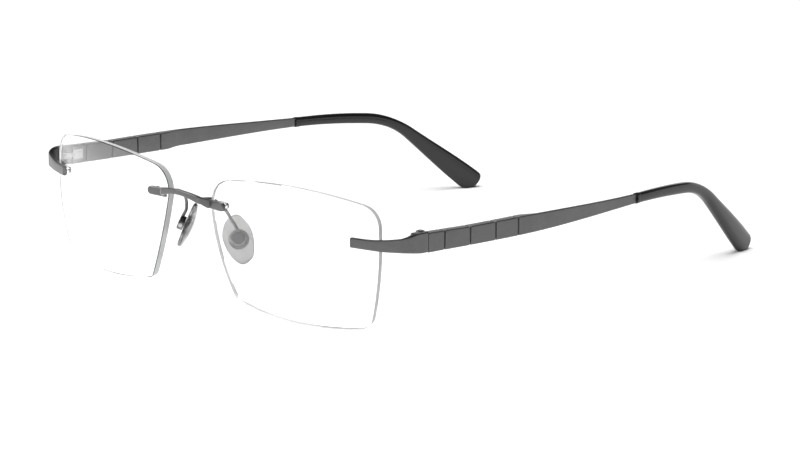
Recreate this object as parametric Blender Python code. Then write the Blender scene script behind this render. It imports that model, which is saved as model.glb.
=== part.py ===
"""Rimless eyeglasses that stand open on their lenses and temple tips.

+X is the wearer's left, +Y runs back along the temples, +Z is up, and the floor is Z = 0.
Shapes are worked out in millimetres from a datum just behind the middle of the bridge.
Each left piece is built first, and its right twin is the mirror image in the YZ plane.
"""

import math

import bmesh
import bpy
from mathutils import Matrix, Vector

MM = 0.001

# Lenses: 55 mm wide, 17 mm apart, on spherical surfaces.
LENS_CENTRE = Vector((36.0, 1.4, 17.18))
LENS_WRAP = math.radians(7.6)
LENS_TILT = math.radians(2.7)
LENS_CURVE = 108.0
LENS_THICKNESS = 2.1
LENS_HOLE_RADIUS = 0.77
# Each side of the outline is an arc: direction it faces, its distance out and its radius.
LENS_SIDES = (
    (math.radians(90.2), 17.27, 119.5),
    (math.radians(207.6), 23.86, 63.7),
    (math.radians(267.3), 17.16, 118.6),
    (math.radians(-9.35), 27.04, 61.9),
)
LENS_CORNERS = (6.8, 2.6, 4.1, 5.8)
LENS_RINGS = (1.0, 0.8, 0.5, 0.2)

# Metal fittings in front of the lenses.
FITTING_THICKNESS = 1.1
FITTING_GAP = 0.08
POST_RADIUS = 0.45
POST_LENGTH = 2.05
POST_SPACING = 2.9
POST_ROOT = 0.5
SLEEVE_GAP = 0.08
SLEEVE_HEAD_LENGTH = 4.3
SLEEVE_HEAD_HEIGHT = 1.5
SLEEVE_HEAD_THICKNESS = 0.6
SLEEVE_HEAD_INSET = 0.2

# Bridge: a bar between two lugs.
LUG_END = 14.8
LUG_START = 9.2
LUG_TOP = 26.98
LUG_BOTTOM = 24.86
LUG_CORNER = 1.0
LUG_POST = 13.3
BAR_TOP = (28.49, -1.38, 0.29)
BAR_BOTTOM = (27.14, -2.52, 0.61)
BAR_FORWARD = -2.26
BAR_BOW = 0.78
BAR_BLEND_START = 7.0
NOTCH = (7.3, 8.6)
BAR_EDGE = 0.28

# Endpieces: a tab on the lens, a bend, and a side arm up to the temple.
TAB_END = 56.0
TAB_LEVEL = 23.25
TAB_BOTTOM = 22.15
TAB_TOP = 24.66
TAB_CORNER = 0.4
BEND_START = 67.9
BEND_THICKNESS = 1.75
ARM_THICKNESS = 2.6
ARM_RISE = 2.3
SIDE_FACE = 71.1
SEAM = 17.0
TAB_POST = 57.1

# Hinge between endpiece and temple.
HINGE = Vector((68.6, 16.6, 0.0))
KNUCKLE_RADIUS = 1.15
KNUCKLE_BOTTOM = 22.0
LEAF_BOTTOM = 23.46
LEAF_TOP = 24.62
KNUCKLE_TOP = 26.66
KNUCKLE_CLEARANCE = 0.15
WASHER_THICKNESS = 0.13
HINGE_GAP = 0.02
SCREW_RADIUS = 0.45
SCREW_BORE = 0.5
SCREW_HEAD_RADIUS = 0.8
SCREW_HEAD_HEIGHT = 0.16
SCREW_SLOT_WIDTH = 0.2
SCREW_SLOT_DEPTH = 0.1
LEAF_REACH = 1.1
LEAF_PLATE_START = 18.3
LEAF_PLATE_END = 21.4
LEAF_PLATE_BELOW = 0.8
LEAF_PLATE_ABOVE = 0.6
LEAF_POCKET_GAP = 0.05

# Temple: a blade that bows inwards, with four grooves round it.
BOW_START = 36.0
BOW_RADIUS = 334.0
BLADE_START = 17.12
RELIEF_END = 18.15
RELIEF_DEPTH = 1.5
BLADE_THICK = 2.6
BLADE_THIN = 0.95
BLADE_LEVEL = 23.72
BLADE_HEIGHT = 4.6
BLADE_TAPER = 2.3
SHOULDER = 0.2
SHOULDER_SPAN = (17.0, 33.0)
TEMPLE_FALL = 0.0041
GROOVES = (22.3, 30.7, 39.1, 46.8)
GROOVE_WIDTH = 0.6
GROOVE_DEPTH = 0.32
TIP_START = 91.6
COLLAR_LENGTH = 1.3
COLLAR_WIDTH = 2.1
COLLAR_HEIGHT = 2.75
CORE_WIRE = (0.7, 1.3)
CORE_HOLE = (1.0, 1.6)

# Tip: level, then two arcs down, then straight to its end.
FIRST_BEND = 94.0
FIRST_RADIUS = 197.5
FIRST_ANGLE = math.radians(5.72)
SECOND_RADIUS = 24.0
DROP_ANGLE = math.radians(39.4)
TIP_END = 146.1
TIP_HEEL = 2.9
TIP_CROWN = 1.0
TIP_EDGE = 0.5
CORE_END = 121.0

# Nose pad, its box and the wire that holds them.
PAD_BOX = Vector((11.8, 7.95, 16.65))
PAD_FACING = Vector((-0.673, 0.630, -0.387)).normalized()
PAD_DOWN = Vector((0.363, -0.174, -0.915))
PAD_ROUTE = (
    (6.8, -1.17, 26.95),
    (6.85, 1.4, 26.72),
    (7.45, 3.9, 26.2),
    (7.8, 5.6, 25.0),
    (8.6, 7.0, 23.0),
    (9.6, 7.8, 20.8),
    (10.5, 8.1, 19.6),
    (11.28, 8.1, 18.59),
)
WIRE_RADIUS = 0.42
BOX_RADIUS = 1.85
BOX_INSIDE = 1.45
BOX_HALF_DEPTH = 0.75
PIVOT_RADIUS = 0.35
PIVOT_BORE = 0.42
PIVOT_LIFT = 0.1
PIVOT_HEAD_RADIUS = 0.62
PIVOT_HEAD_HEIGHT = 0.28
BOX_FLOOR = 0.35
STEM_RADIUS = 0.72
STEM_BACK = -0.28
PAD_RECESS_GAP = 0.06
CORE_DISC_RADIUS = 2.5
CORE_DISC_BACK = 1.25
CORE_DISC_THICKNESS = 0.4
PAD_BACK = 1.0
PAD_OUTLINE = (
    (-6.25, -0.4),
    (-6.15, 1.1),
    (-4.8, 2.8),
    (-2.1, 3.8),
    (0.5, 3.65),
    (4.1, 2.2),
    (6.3, -0.3),
    (4.7, -3.0),
    (0.9, -3.6),
    (-2.5, -3.15),
    (-5.0, -1.7),
)
PAD_SIDE_THICKNESS = 1.0
PAD_CROWN = 1.1


def smooth(value, start, end):
    """0 before start, 1 after end, and an even S between them."""
    share = min(max((value - start) / (end - start), 0.0), 1.0)
    return share * share * (3.0 - 2.0 * share)


def round_off(distance, radius):
    """How far a rounded edge has drawn in, this far from the end it rounds."""
    if distance >= radius:
        return 0.0
    return radius - math.sqrt(max(radius**2 - (radius - distance) ** 2, 0.0))


def spread(start, end, count):
    """Evenly spaced values from start to end, both included."""
    return [start + (end - start) * i / (count - 1) for i in range(count)]


# ---------------------------------------------------------------- mesh tools


def loft(loops):
    """A closed skin through loops of equal length, capped at both ends."""
    mesh = bmesh.new()
    rings = [[mesh.verts.new(point) for point in loop] for loop in loops]
    count = len(rings[0])
    for near, far in zip(rings, rings[1:]):
        for i in range(count):
            j = (i + 1) % count
            mesh.faces.new((near[i], near[j], far[j], far[i]))
    mesh.faces.new(rings[0])
    mesh.faces.new(rings[-1])
    bmesh.ops.recalc_face_normals(mesh, faces=mesh.faces)
    return mesh


def turned(profile, segments=20):
    """A solid of revolution about Z. The profile is (radius, height) points, and 0 is the axis."""
    mesh = bmesh.new()
    rings = []
    for radius, height in profile:
        if radius == 0.0:
            rings.append([mesh.verts.new((0.0, 0.0, height))])
            continue
        angles = [math.tau * i / segments for i in range(segments)]
        ring = [(radius * math.cos(a), radius * math.sin(a), height) for a in angles]
        rings.append([mesh.verts.new(point) for point in ring])
    pairs = list(zip(rings, rings[1:]))
    if len(rings[0]) > 1:
        pairs.append((rings[-1], rings[0]))
    for low, high in pairs:
        for i in range(segments):
            j = (i + 1) % segments
            if len(low) == 1:
                mesh.faces.new((low[0], high[i], high[j]))
            elif len(high) == 1:
                mesh.faces.new((low[i], high[0], low[j]))
            else:
                mesh.faces.new((low[i], low[j], high[j], high[i]))
    bmesh.ops.recalc_face_normals(mesh, faces=mesh.faces)
    return mesh


def rod(start, end, radius, segments=16):
    """A cylinder from one point to another."""
    start, end = Vector(start), Vector(end)
    length = (end - start).length
    mesh = turned(((0, 0), (radius, 0), (radius, length), (0, length)), segments)
    turn = Vector((0, 0, 1)).rotation_difference(end - start).to_matrix().to_4x4()
    mesh.transform(Matrix.Translation(start) @ turn)
    return mesh


def block(low, high):
    """A box between two corners."""
    low, high = Vector(low), Vector(high)
    mesh = bmesh.new()
    size = Matrix.Diagonal((*(high - low), 1.0))
    bmesh.ops.create_cube(mesh, size=1.0, matrix=Matrix.Translation((low + high) / 2) @ size)
    return mesh


def section(width, height, radius, steps=2):
    """Points round a rectangle with round corners, as (across, up)."""
    points = []
    for corner, (x, y) in enumerate(((1, 1), (-1, 1), (-1, -1), (1, -1))):
        centre = (x * (width / 2 - radius), y * (height / 2 - radius))
        for step in range(steps + 1):
            angle = math.pi / 2 * (corner + step / steps)
            points.append((centre[0] + radius * math.cos(angle), centre[1] + radius * math.sin(angle)))
    return points


def oval(width, height, count=14, power=2.6):
    """Points round an ellipse with full shoulders, as (across, up)."""
    points = []
    for i in range(count):
        angle = math.tau * (i + 0.5) / count
        x, y = math.cos(angle), math.sin(angle)
        grow = (abs(x) ** power + abs(y) ** power) ** (-1.0 / power)
        points.append((width / 2 * x * grow, height / 2 * y * grow))
    return points


def placed(points, centre, side, up):
    """Flat points put round a centre, across along side and up along up."""
    return [centre + side * across + up * rise for across, rise in points]


def to_object(name, mesh):
    data = bpy.data.meshes.new(name)
    mesh.to_mesh(data)
    mesh.free()
    piece = bpy.data.objects.new(name, data)
    bpy.context.scene.collection.objects.link(piece)
    return piece


def combined(base, operation, *tools):
    """The mesh that Booleans of closed meshes leave."""
    for tool in tools:
        target = to_object("target", base)
        cutter = to_object("cutter", tool)
        modifier = target.modifiers.new("Boolean", "BOOLEAN")
        modifier.operation = operation
        modifier.object = cutter
        graph = bpy.context.evaluated_depsgraph_get()
        result = bpy.data.meshes.new_from_object(target.evaluated_get(graph))
        base = bmesh.new()
        base.from_mesh(result)
        for helper in (target, cutter):
            data = helper.data
            bpy.data.objects.remove(helper)
            bpy.data.meshes.remove(data)
        bpy.data.meshes.remove(result)
    return base


def united(base, *tools):
    return combined(base, "UNION", *tools)


def less(base, *tools):
    return combined(base, "DIFFERENCE", *tools)


def curve_through(points, per_span, closed=False):
    """A Catmull-Rom curve through the points."""
    points = [Vector(point) for point in points]
    count = len(points)
    spans = count if closed else count - 1
    line = []
    for span in range(spans):
        picks = []
        for offset in (-1, 0, 1, 2):
            place = span + offset
            picks.append(points[place % count] if closed else points[min(max(place, 0), count - 1)])
        a, b, c, d = picks
        for step in range(per_span):
            t = step / per_span
            square = (2 * a - 5 * b + 4 * c - d) * t**2
            cube = (3 * b - a - 3 * c + d) * t**3
            line.append(0.5 * (2 * b + (c - a) * t + square + cube))
    if not closed:
        line.append(points[-1])
    return line


def tube(line, radius, sides=8):
    """A round wire along a line of points."""
    loops = []
    up = Vector((1.0, 0.0, 0.0))
    for i, point in enumerate(line):
        ahead = line[min(i + 1, len(line) - 1)] - line[max(i - 1, 0)]
        ahead.normalize()
        up = (up - ahead * up.dot(ahead)).normalized()
        side = ahead.cross(up)
        angles = [math.tau * k / sides for k in range(sides)]
        ring = [(radius * math.cos(a), radius * math.sin(a)) for a in angles]
        loops.append(placed(ring, point, side, up))
    return loft(loops)


# ---------------------------------------------------------------- materials


def finish(name, colour, roughness, metallic, transmission=0.0):
    """A Principled material."""
    material = bpy.data.materials.new(name)
    material.use_nodes = True
    shader = material.node_tree.nodes["Principled BSDF"]
    shader.inputs["Base Color"].default_value = (*colour, 1.0)
    shader.inputs["Roughness"].default_value = roughness
    shader.inputs["Metallic"].default_value = metallic
    shader.inputs["Transmission Weight"].default_value = transmission
    return material


# ---------------------------------------------------------------- lenses


def lens_frame():
    """The matrix from the left lens's own frame (temporal, back, up) to the datum."""
    turn = Matrix.Rotation(LENS_WRAP, 4, "Z") @ Matrix.Rotation(LENS_TILT, 4, "X")
    return Matrix.Translation(LENS_CENTRE) @ turn


def lens_sag(u, v):
    """How far the front surface lies behind the middle of the lens."""
    return (u * u + v * v) / (2 * LENS_CURVE)


def lens_point(u, v, depth):
    """A point this deep under the front surface, in the left lens's own frame."""
    inward = Vector((-u / LENS_CURVE, 1.0, -v / LENS_CURVE)).normalized()
    return Vector((u, lens_sag(u, v), v)) + inward * depth


def front_point(x, z, offset=0.0):
    """A point on the left lens's front surface at x and z, and the level direction out of it."""
    frame = lens_frame()
    u, v = x - LENS_CENTRE.x, z - LENS_CENTRE.z
    for _ in range(6):
        point = frame @ Vector((u, lens_sag(u, v), v))
        u += x - point.x
        v += z - point.z
    slope = math.tan(LENS_WRAP) + u / LENS_CURVE
    out = Vector((slope, -1.0, 0.0)).normalized()
    return point + out * offset, out


def lens_outline(steps=6):
    """Points round the lens: four long arcs joined by four corner arcs."""
    centres = []
    for facing, distance, radius in LENS_SIDES:
        centres.append(Vector((math.cos(facing), math.sin(facing))) * (distance - radius))
    corners = []
    for i, corner in enumerate(LENS_CORNERS):
        j = (i + 1) % 4
        reach_i, reach_j = LENS_SIDES[i][2] - corner, LENS_SIDES[j][2] - corner
        gap = centres[j] - centres[i]
        along = (reach_i**2 - reach_j**2 + gap.length_squared) / (2 * gap.length)
        across = math.sqrt(reach_i**2 - along**2)
        ahead = gap.normalized()
        beside = Vector((-ahead.y, ahead.x))
        options = [centres[i] + ahead * along + beside * across * side for side in (1, -1)]
        facing = Vector((math.cos(LENS_SIDES[i][0]), math.sin(LENS_SIDES[i][0])))
        corners.append(max(options, key=facing.dot))
    points = []
    for i in range(4):
        start = corners[i - 1] - centres[i]
        end = corners[i] - centres[i]
        points += arc(centres[i], LENS_SIDES[i][2], start, end, steps + 4)
        leaving = corners[i] - centres[(i + 1) % 4]
        points += arc(corners[i], LENS_CORNERS[i], end, leaving, steps)
    return points


def arc(centre, radius, start, end, steps):
    """Points on an arc between two directions, without its last point."""
    first = math.atan2(start.y, start.x)
    turn = (math.atan2(end.y, end.x) - first) % math.tau
    angles = [first + turn * i / steps for i in range(steps)]
    return [centre + Vector((math.cos(a), math.sin(a))) * radius for a in angles]


def lens():
    """The left lens, drilled for the posts of its two fittings."""
    mesh = bmesh.new()
    outline = lens_outline()
    count = len(outline)
    skins = []
    for depth in (0.0, LENS_THICKNESS):
        rings = []
        for share in LENS_RINGS:
            rings.append([mesh.verts.new(lens_point(p.x * share, p.y * share, depth)) for p in outline])
        middle = mesh.verts.new((0.0, depth, 0.0))
        for outer, inner in zip(rings, rings[1:]):
            for i in range(count):
                j = (i + 1) % count
                mesh.faces.new((outer[i], outer[j], inner[j], inner[i]))
        for i in range(count):
            mesh.faces.new((rings[-1][i], rings[-1][(i + 1) % count], middle))
        skins.append(rings[0])
    for i in range(count):
        j = (i + 1) % count
        mesh.faces.new((skins[0][i], skins[0][j], skins[1][j], skins[1][i]))
    bmesh.ops.recalc_face_normals(mesh, faces=mesh.faces)
    mesh.transform(lens_frame())
    drills = []
    for start, out in tab_posts() + lug_posts():
        drills.append(rod(start + out * 1.0, start - out * (LENS_THICKNESS + 1.0), LENS_HOLE_RADIUS))
    return less(mesh, *drills)


def posts_on(first, second, level):
    """Where two posts meet the lens's front, with the direction out of the lens between them."""
    middle = front_point((first + second) / 2, level)[1]
    return [(front_point(x, level)[0], middle) for x in (first, second)]


def tab_posts():
    return posts_on(TAB_POST, TAB_POST + POST_SPACING, TAB_LEVEL)


def lug_posts():
    return posts_on(LUG_POST, LUG_POST - POST_SPACING, (LUG_TOP + LUG_BOTTOM) / 2)


def post_rods(places):
    """Posts that reach from inside a fitting to the back of the lens."""
    rods = []
    for start, out in places:
        rods.append(rod(start + out * (FITTING_GAP + POST_ROOT), start - out * POST_LENGTH, POST_RADIUS, 12))
    return rods


def sleeve(places):
    """A clear plastic double plug: two closed tubes through the lens, joined by a head behind it."""
    (first, out), (second, _) = places
    along = (second - first).normalized()
    up = Vector((0.0, 0.0, 1.0))
    back = -out
    middle = (first + second) / 2
    head_start = LENS_THICKNESS + SLEEVE_GAP
    corner = SLEEVE_HEAD_HEIGHT / 2 - 0.05
    drawn = SLEEVE_HEAD_INSET
    shape = section(SLEEVE_HEAD_LENGTH, SLEEVE_HEAD_HEIGHT, corner, 4)
    inset = section(SLEEVE_HEAD_LENGTH - 2 * drawn, SLEEVE_HEAD_HEIGHT - 2 * drawn, corner - drawn, 4)
    loops = [
        placed(shape, middle + back * head_start, along, up),
        placed(shape, middle + back * (head_start + SLEEVE_HEAD_THICKNESS / 2), along, up),
        placed(inset, middle + back * (head_start + SLEEVE_HEAD_THICKNESS), along, up),
    ]
    tubes = []
    bores = []
    for post in (first, second):
        tube_end = post + back * (head_start + SLEEVE_HEAD_THICKNESS / 3)
        tubes.append(rod(post + back * 0.02, tube_end, LENS_HOLE_RADIUS - 0.05))
        bore_end = post + back * (POST_LENGTH + SLEEVE_GAP)
        bores.append(rod(post - back, bore_end, POST_RADIUS + 0.05, 12))
    return less(united(loft(loops), *tubes), *bores)


# ---------------------------------------------------------------- bridge


def bridge_station(x):
    """Middle and height of the bridge at x."""
    away = abs(x)
    share = (away / 10) ** 2
    lug = smooth(away, BAR_BLEND_START, LUG_START)
    arch = BAR_TOP[0] + BAR_TOP[1] * share + BAR_TOP[2] * share**2
    top = arch * (1 - lug) + LUG_TOP * lug
    notch = smooth(away, *NOTCH)
    hollow = BAR_BOTTOM[0] + BAR_BOTTOM[1] * share + BAR_BOTTOM[2] * share**2
    bottom = hollow * (1 - notch) + LUG_BOTTOM * notch
    offset = FITTING_GAP + FITTING_THICKNESS / 2
    on_lens = front_point(max(away, BAR_BLEND_START - 0.5), (LUG_TOP + LUG_BOTTOM) / 2, offset)[0]
    y = (BAR_FORWARD + BAR_BOW * share) * (1 - lug) + on_lens.y * lug
    height = top - bottom - 2 * round_off(LUG_END - away, LUG_CORNER)
    return Vector((x, y, (top + bottom) / 2)), height


def bridge():
    """The bar, its two lugs and their four posts."""
    right = [-LUG_END + LUG_CORNER * share for share in (0.02, 0.15, 0.4, 1.0)]
    right += [-12.4, -10.6] + spread(-LUG_START, -BAR_BLEND_START, 8) + spread(-6.0, -1.5, 4)
    places = right + [0.0] + [-x for x in reversed(right)]
    up = Vector((0, 0, 1))
    loops = []
    for x in places:
        centre, height = bridge_station(x)
        ahead = bridge_station(x + 0.05)[0] - bridge_station(x - 0.05)[0]
        side = Vector((ahead.y, -ahead.x, 0.0)).normalized()
        shape = section(FITTING_THICKNESS, height, min(BAR_EDGE, height / 2.2))
        loops.append(placed(shape, centre, side, up))
    mesh = loft(loops)
    left_posts = lug_posts()
    right_posts = [(p * Vector((-1, 1, 1)), out * Vector((-1, 1, 1))) for p, out in left_posts]
    return united(mesh, *post_rods(left_posts + right_posts))


# ---------------------------------------------------------------- endpieces


def endpiece_path():
    """Stations of the left endpiece: place, level direction out, progress, thickness."""
    offset = FITTING_GAP + FITTING_THICKNESS / 2
    stations = []
    for x in [TAB_END, TAB_END + 0.12, TAB_END + TAB_CORNER] + spread(58.0, BEND_START, 5):
        place, out = front_point(x, TAB_LEVEL, offset)
        stations.append((place, out, FITTING_THICKNESS))
    start, out = stations[-1][0], stations[-1][1]
    heading = math.atan2(out.x, -out.y)
    radius = (SIDE_FACE - BEND_THICKNESS / 2 - start.x) / (1 - math.sin(heading))
    for turn in spread(heading, math.pi / 2, 8)[1:]:
        x = start.x + radius * (math.sin(turn) - math.sin(heading))
        y = start.y + radius * (math.cos(heading) - math.cos(turn))
        grow = (turn - heading) / (math.pi / 2 - heading)
        thickness = FITTING_THICKNESS + (BEND_THICKNESS - FITTING_THICKNESS) * grow
        stations.append((Vector((x, y, 0)), Vector((math.sin(turn), -math.cos(turn), 0)), thickness))
    bend_end = stations[-1][0].y
    for y in spread(bend_end + 0.7, 15.5, 7) + [SEAM]:
        thickness = BEND_THICKNESS + (ARM_THICKNESS - BEND_THICKNESS) * smooth(y, bend_end, 13.5)
        stations.append((Vector((SIDE_FACE - thickness / 2, y, 0)), Vector((1, 0, 0)), thickness))
    return stations


def endpiece_heights(place):
    """Bottom and top of the endpiece where its middle is at place."""
    along = smooth(place.x, 54.0, 66.0)
    dip = 0.2 * smooth(place.y, 8.0, 10.5) - 0.45 * smooth(place.y, 10.8, 15.5)
    bottom = TAB_BOTTOM - 0.27 * along + dip
    return bottom, TAB_TOP - 0.34 * along + ARM_RISE * smooth(place.y, 5.9, 14.2)


def endpiece():
    """Tab, bend, side arm, posts and the two outer knuckles of the hinge."""
    up = Vector((0, 0, 1))
    loops = []
    for place, out, thickness in endpiece_path():
        bottom, top = endpiece_heights(place)
        trim = round_off(place.x - TAB_END, TAB_CORNER)
        centre = Vector((place.x, place.y, (bottom + top) / 2))
        shape = section(thickness, top - bottom - 2 * trim, TAB_CORNER)
        loops.append(placed(shape, centre, out, up))
    mesh = loft(loops)
    low = LEAF_BOTTOM - 2 * HINGE_GAP - WASHER_THICKNESS
    high = LEAF_TOP + 2 * HINGE_GAP + WASHER_THICKNESS
    axis = [Vector((HINGE.x, HINGE.y, z)) for z in (KNUCKLE_BOTTOM, low, high, KNUCKLE_TOP)]
    barrel = rod(axis[0], axis[3], KNUCKLE_RADIUS)
    pocket = rod(axis[1], axis[2], KNUCKLE_RADIUS + KNUCKLE_CLEARANCE, 24)
    bore = rod(axis[0] - up, axis[3] + up, SCREW_BORE)
    solid = united(mesh, barrel, *post_rods(tab_posts()))
    return less(solid, pocket, bore)


# ---------------------------------------------------------------- hinge


def hinge_leaf():
    """The temple's middle knuckle, with the plate that sits in the blade's pocket."""
    low = HINGE + Vector((0, 0, LEAF_BOTTOM))
    high = HINGE + Vector((0, 0, LEAF_TOP))
    up = Vector((0, 0, 1))
    outside = HINGE.x + LEAF_REACH
    knuckle = rod(low, high, KNUCKLE_RADIUS, 20)
    neck = block(low + Vector((-0.2, 0, 0.03)), (outside, LEAF_PLATE_START + 0.3, LEAF_TOP - 0.03))
    corner = (HINGE.x, LEAF_PLATE_START, LEAF_BOTTOM - LEAF_PLATE_BELOW)
    plate = block(corner, (outside, LEAF_PLATE_END, LEAF_TOP + LEAF_PLATE_ABOVE))
    return less(united(knuckle, neck, plate), rod(low - up, high + up, SCREW_BORE))


def hinge_screw():
    """A slotted screw down the hinge's axis."""
    top = KNUCKLE_TOP + HINGE_GAP
    profile = (
        (0, KNUCKLE_BOTTOM + 0.05),
        (SCREW_RADIUS, KNUCKLE_BOTTOM + 0.05),
        (SCREW_RADIUS, top),
        (SCREW_HEAD_RADIUS, top),
        (SCREW_HEAD_RADIUS, top + SCREW_HEAD_HEIGHT / 2),
        (SCREW_HEAD_RADIUS - 0.15, top + SCREW_HEAD_HEIGHT),
        (0, top + SCREW_HEAD_HEIGHT),
    )
    mesh = turned(profile, 16)
    head_top = top + SCREW_HEAD_HEIGHT
    half = SCREW_SLOT_WIDTH / 2
    slot = block((-1.0, -half, head_top - SCREW_SLOT_DEPTH), (1.0, half, head_top + SCREW_SLOT_DEPTH))
    mesh = less(mesh, slot)
    mesh.transform(Matrix.Translation(HINGE))
    return mesh


def hinge_washer(bottom):
    """A thin washer beside the temple's knuckle."""
    top = bottom + WASHER_THICKNESS
    outer, inner = KNUCKLE_RADIUS - 0.05, SCREW_BORE + 0.02
    mesh = turned(((inner, bottom), (outer, bottom), (outer, top), (inner, top)), 16)
    mesh.transform(Matrix.Translation(HINGE))
    return mesh


def lower_washer():
    return hinge_washer(LEAF_BOTTOM - HINGE_GAP - WASHER_THICKNESS)


def upper_washer():
    return hinge_washer(LEAF_TOP + HINGE_GAP)


# ---------------------------------------------------------------- temples


def bow(y):
    """The outer face of the temple at y, and the level direction out of it."""
    past = max(y - BOW_START, 0.0)
    out = Vector((1.0, past / BOW_RADIUS, 0.0)).normalized()
    return SIDE_FACE - past**2 / (2 * BOW_RADIUS), out


def level(y):
    """Height of the temple's middle line at y."""
    straight = BLADE_LEVEL - TEMPLE_FALL * (y - BLADE_START) + SHOULDER * (1 - smooth(y, *SHOULDER_SPAN))
    past = y - FIRST_BEND
    if past <= 0:
        return straight
    first_run = FIRST_RADIUS * math.sin(FIRST_ANGLE)
    if past <= first_run:
        return straight - FIRST_RADIUS + math.sqrt(FIRST_RADIUS**2 - past**2)
    fall = FIRST_RADIUS * (1 - math.cos(FIRST_ANGLE))
    past -= first_run
    second_run = SECOND_RADIUS * (math.sin(DROP_ANGLE) - math.sin(FIRST_ANGLE))
    if past <= second_run:
        sine = math.sin(FIRST_ANGLE) + past / SECOND_RADIUS
        return straight - fall - SECOND_RADIUS * (math.cos(FIRST_ANGLE) - math.sqrt(1 - sine**2))
    fall += SECOND_RADIUS * (math.cos(FIRST_ANGLE) - math.cos(DROP_ANGLE))
    return straight - fall - (past - second_run) * math.tan(DROP_ANGLE)


def temple_station(y, shape, inset):
    """A flat shape round the temple's middle line at y, its middle this far inside the outer face."""
    face, out = bow(y)
    ahead = Vector((bow(y + 0.1)[0] - bow(y - 0.1)[0], 0.2, level(y + 0.1) - level(y - 0.1))).normalized()
    up = out.cross(ahead).normalized()
    centre = Vector((face, y, level(y))) - out * inset
    return placed(shape, centre, out, up if up.z > 0 else -up)


def blade_thickness(y):
    if y < RELIEF_END:
        return BLADE_THICK - RELIEF_DEPTH
    return BLADE_THICK - (BLADE_THICK - BLADE_THIN) * smooth(y, 48.5, 54.5)


def blade_height(y):
    return BLADE_HEIGHT + SHOULDER * (1 - smooth(y, *SHOULDER_SPAN)) - BLADE_TAPER * smooth(y, 46.0, 98.0)


def temple_blade():
    """The sprung blade: grooved block, thin bowed shank, and the core wire inside the tip."""
    half = GROOVE_WIDTH / 2
    places = [(BLADE_START, 0), (RELIEF_END - 0.01, 0), (RELIEF_END, 0)]
    for groove in GROOVES:
        edges = ((-half, 0), (-half + 0.1, 1), (half - 0.1, 1), (half, 0))
        places += [(groove + shift, cut) for shift, cut in edges]
    places += [(y, 0) for y in spread(48.5, 54.5, 4) + spread(60.0, 84.0, 5) + [TIP_START + 0.3]]
    loops = []
    for y, cut in places:
        thickness = blade_thickness(y)
        shape = section(thickness - 2 * GROOVE_DEPTH * cut, blade_height(y) - 2 * GROOVE_DEPTH * cut, 0.25)
        loops.append(temple_station(y, shape, thickness / 2))
    core = section(*CORE_WIRE, 0.2)
    for y in [TIP_START + 0.32] + spread(98.0, CORE_END, 8):
        loops.append(temple_station(y, core, BLADE_THIN / 2))
    mesh = loft(loops)
    gap = LEAF_POCKET_GAP
    low = (HINGE.x - 0.6, RELIEF_END - 0.15, LEAF_BOTTOM - LEAF_PLATE_BELOW - gap)
    high = (HINGE.x + LEAF_REACH + gap, LEAF_PLATE_END + gap, LEAF_TOP + LEAF_PLATE_ABOVE + gap)
    return less(mesh, block(low, high))


def tip_shape(y, trim=0.0):
    """The tip's outline at y, its end rounded more below than above."""
    height = 2.6 + 0.26 * smooth(y, 93.0, 112.0) + 3.5 * smooth(y, 120.0, 145.0)
    swell = 0.6 * smooth(y, 102.0, 120.0)
    thickness = 2.1 + 0.3 * smooth(y, 92.0, 100.0) + swell
    above = height / 2 - round_off(TIP_END - y, TIP_CROWN)
    below = height / 2 - round_off(TIP_END - y, TIP_HEEL)
    lift = (above - below) / 2
    shape = [(across, rise + lift) for across, rise in oval(thickness - 2 * trim, above + below - 2 * trim)]
    return temple_station(y, shape, (BLADE_THIN + swell) / 2)


def temple_tip():
    """The tip, bored for the core wire and cut flat where it meets the floor."""
    start = TIP_START + COLLAR_LENGTH + 0.03
    loops = [tip_shape(start)]
    places = spread(96.0, 114.0, 4) + spread(116.0, 128.0, 6) + spread(131.0, 143.0, 4)
    loops += [tip_shape(y) for y in places]
    for back in (2.0, 1.2, 0.6, 0.25, 0.05):
        loops.append(tip_shape(TIP_END - back, round_off(back, TIP_EDGE)))
    mesh = loft(loops)
    wide = section(*CORE_HOLE, 0.25)
    places = [start - 2.0] + spread(98.0, CORE_END + 0.4, 8)
    hollow = [temple_station(y, wide, BLADE_THIN / 2) for y in places]
    mesh = less(mesh, loft(hollow))
    edges = mesh.verts[:] + mesh.edges[:] + mesh.faces[:]
    cut = bmesh.ops.bisect_plane(mesh, geom=edges, plane_co=(0, 0, 0), plane_no=(0, 0, -1), clear_outer=True)
    rim = [part for part in cut["geom_cut"] if isinstance(part, bmesh.types.BMEdge)]
    if rim:
        bmesh.ops.edgeloop_fill(mesh, edges=rim)
    return mesh


def tip_collar():
    """The short ring where the blade goes into the tip."""
    outer = oval(COLLAR_WIDTH, COLLAR_HEIGHT)
    loops = [temple_station(y, outer, BLADE_THIN / 2) for y in (TIP_START, TIP_START + COLLAR_LENGTH)]
    mesh = loft(loops)
    bore = section(BLADE_THIN + 0.16, COLLAR_HEIGHT - 0.25, 0.25)
    ends = (TIP_START - 1.0, TIP_START + COLLAR_LENGTH + 1.0)
    return less(mesh, loft([temple_station(y, bore, BLADE_THIN / 2) for y in ends]))


# ---------------------------------------------------------------- nose pads


def pad_frame():
    """The matrix from the pad's frame (down, across, towards the nose) to the datum, from its box."""
    facing = PAD_FACING
    down = (PAD_DOWN - facing * PAD_DOWN.dot(facing)).normalized()
    across = facing.cross(down)
    turn = Matrix((down, across, facing)).transposed().to_4x4()
    return Matrix.Translation(PAD_BOX) @ turn


def pad_arm():
    """The wire from the back of the bridge to the pad's box."""
    return tube(curve_through(PAD_ROUTE, 3), WIRE_RADIUS)


def cross_bore():
    """The hole for the pivot screw, through box and stem."""
    return rod((0, -3, PIVOT_LIFT), (0, 3, PIVOT_LIFT), PIVOT_BORE, 12)


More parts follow.
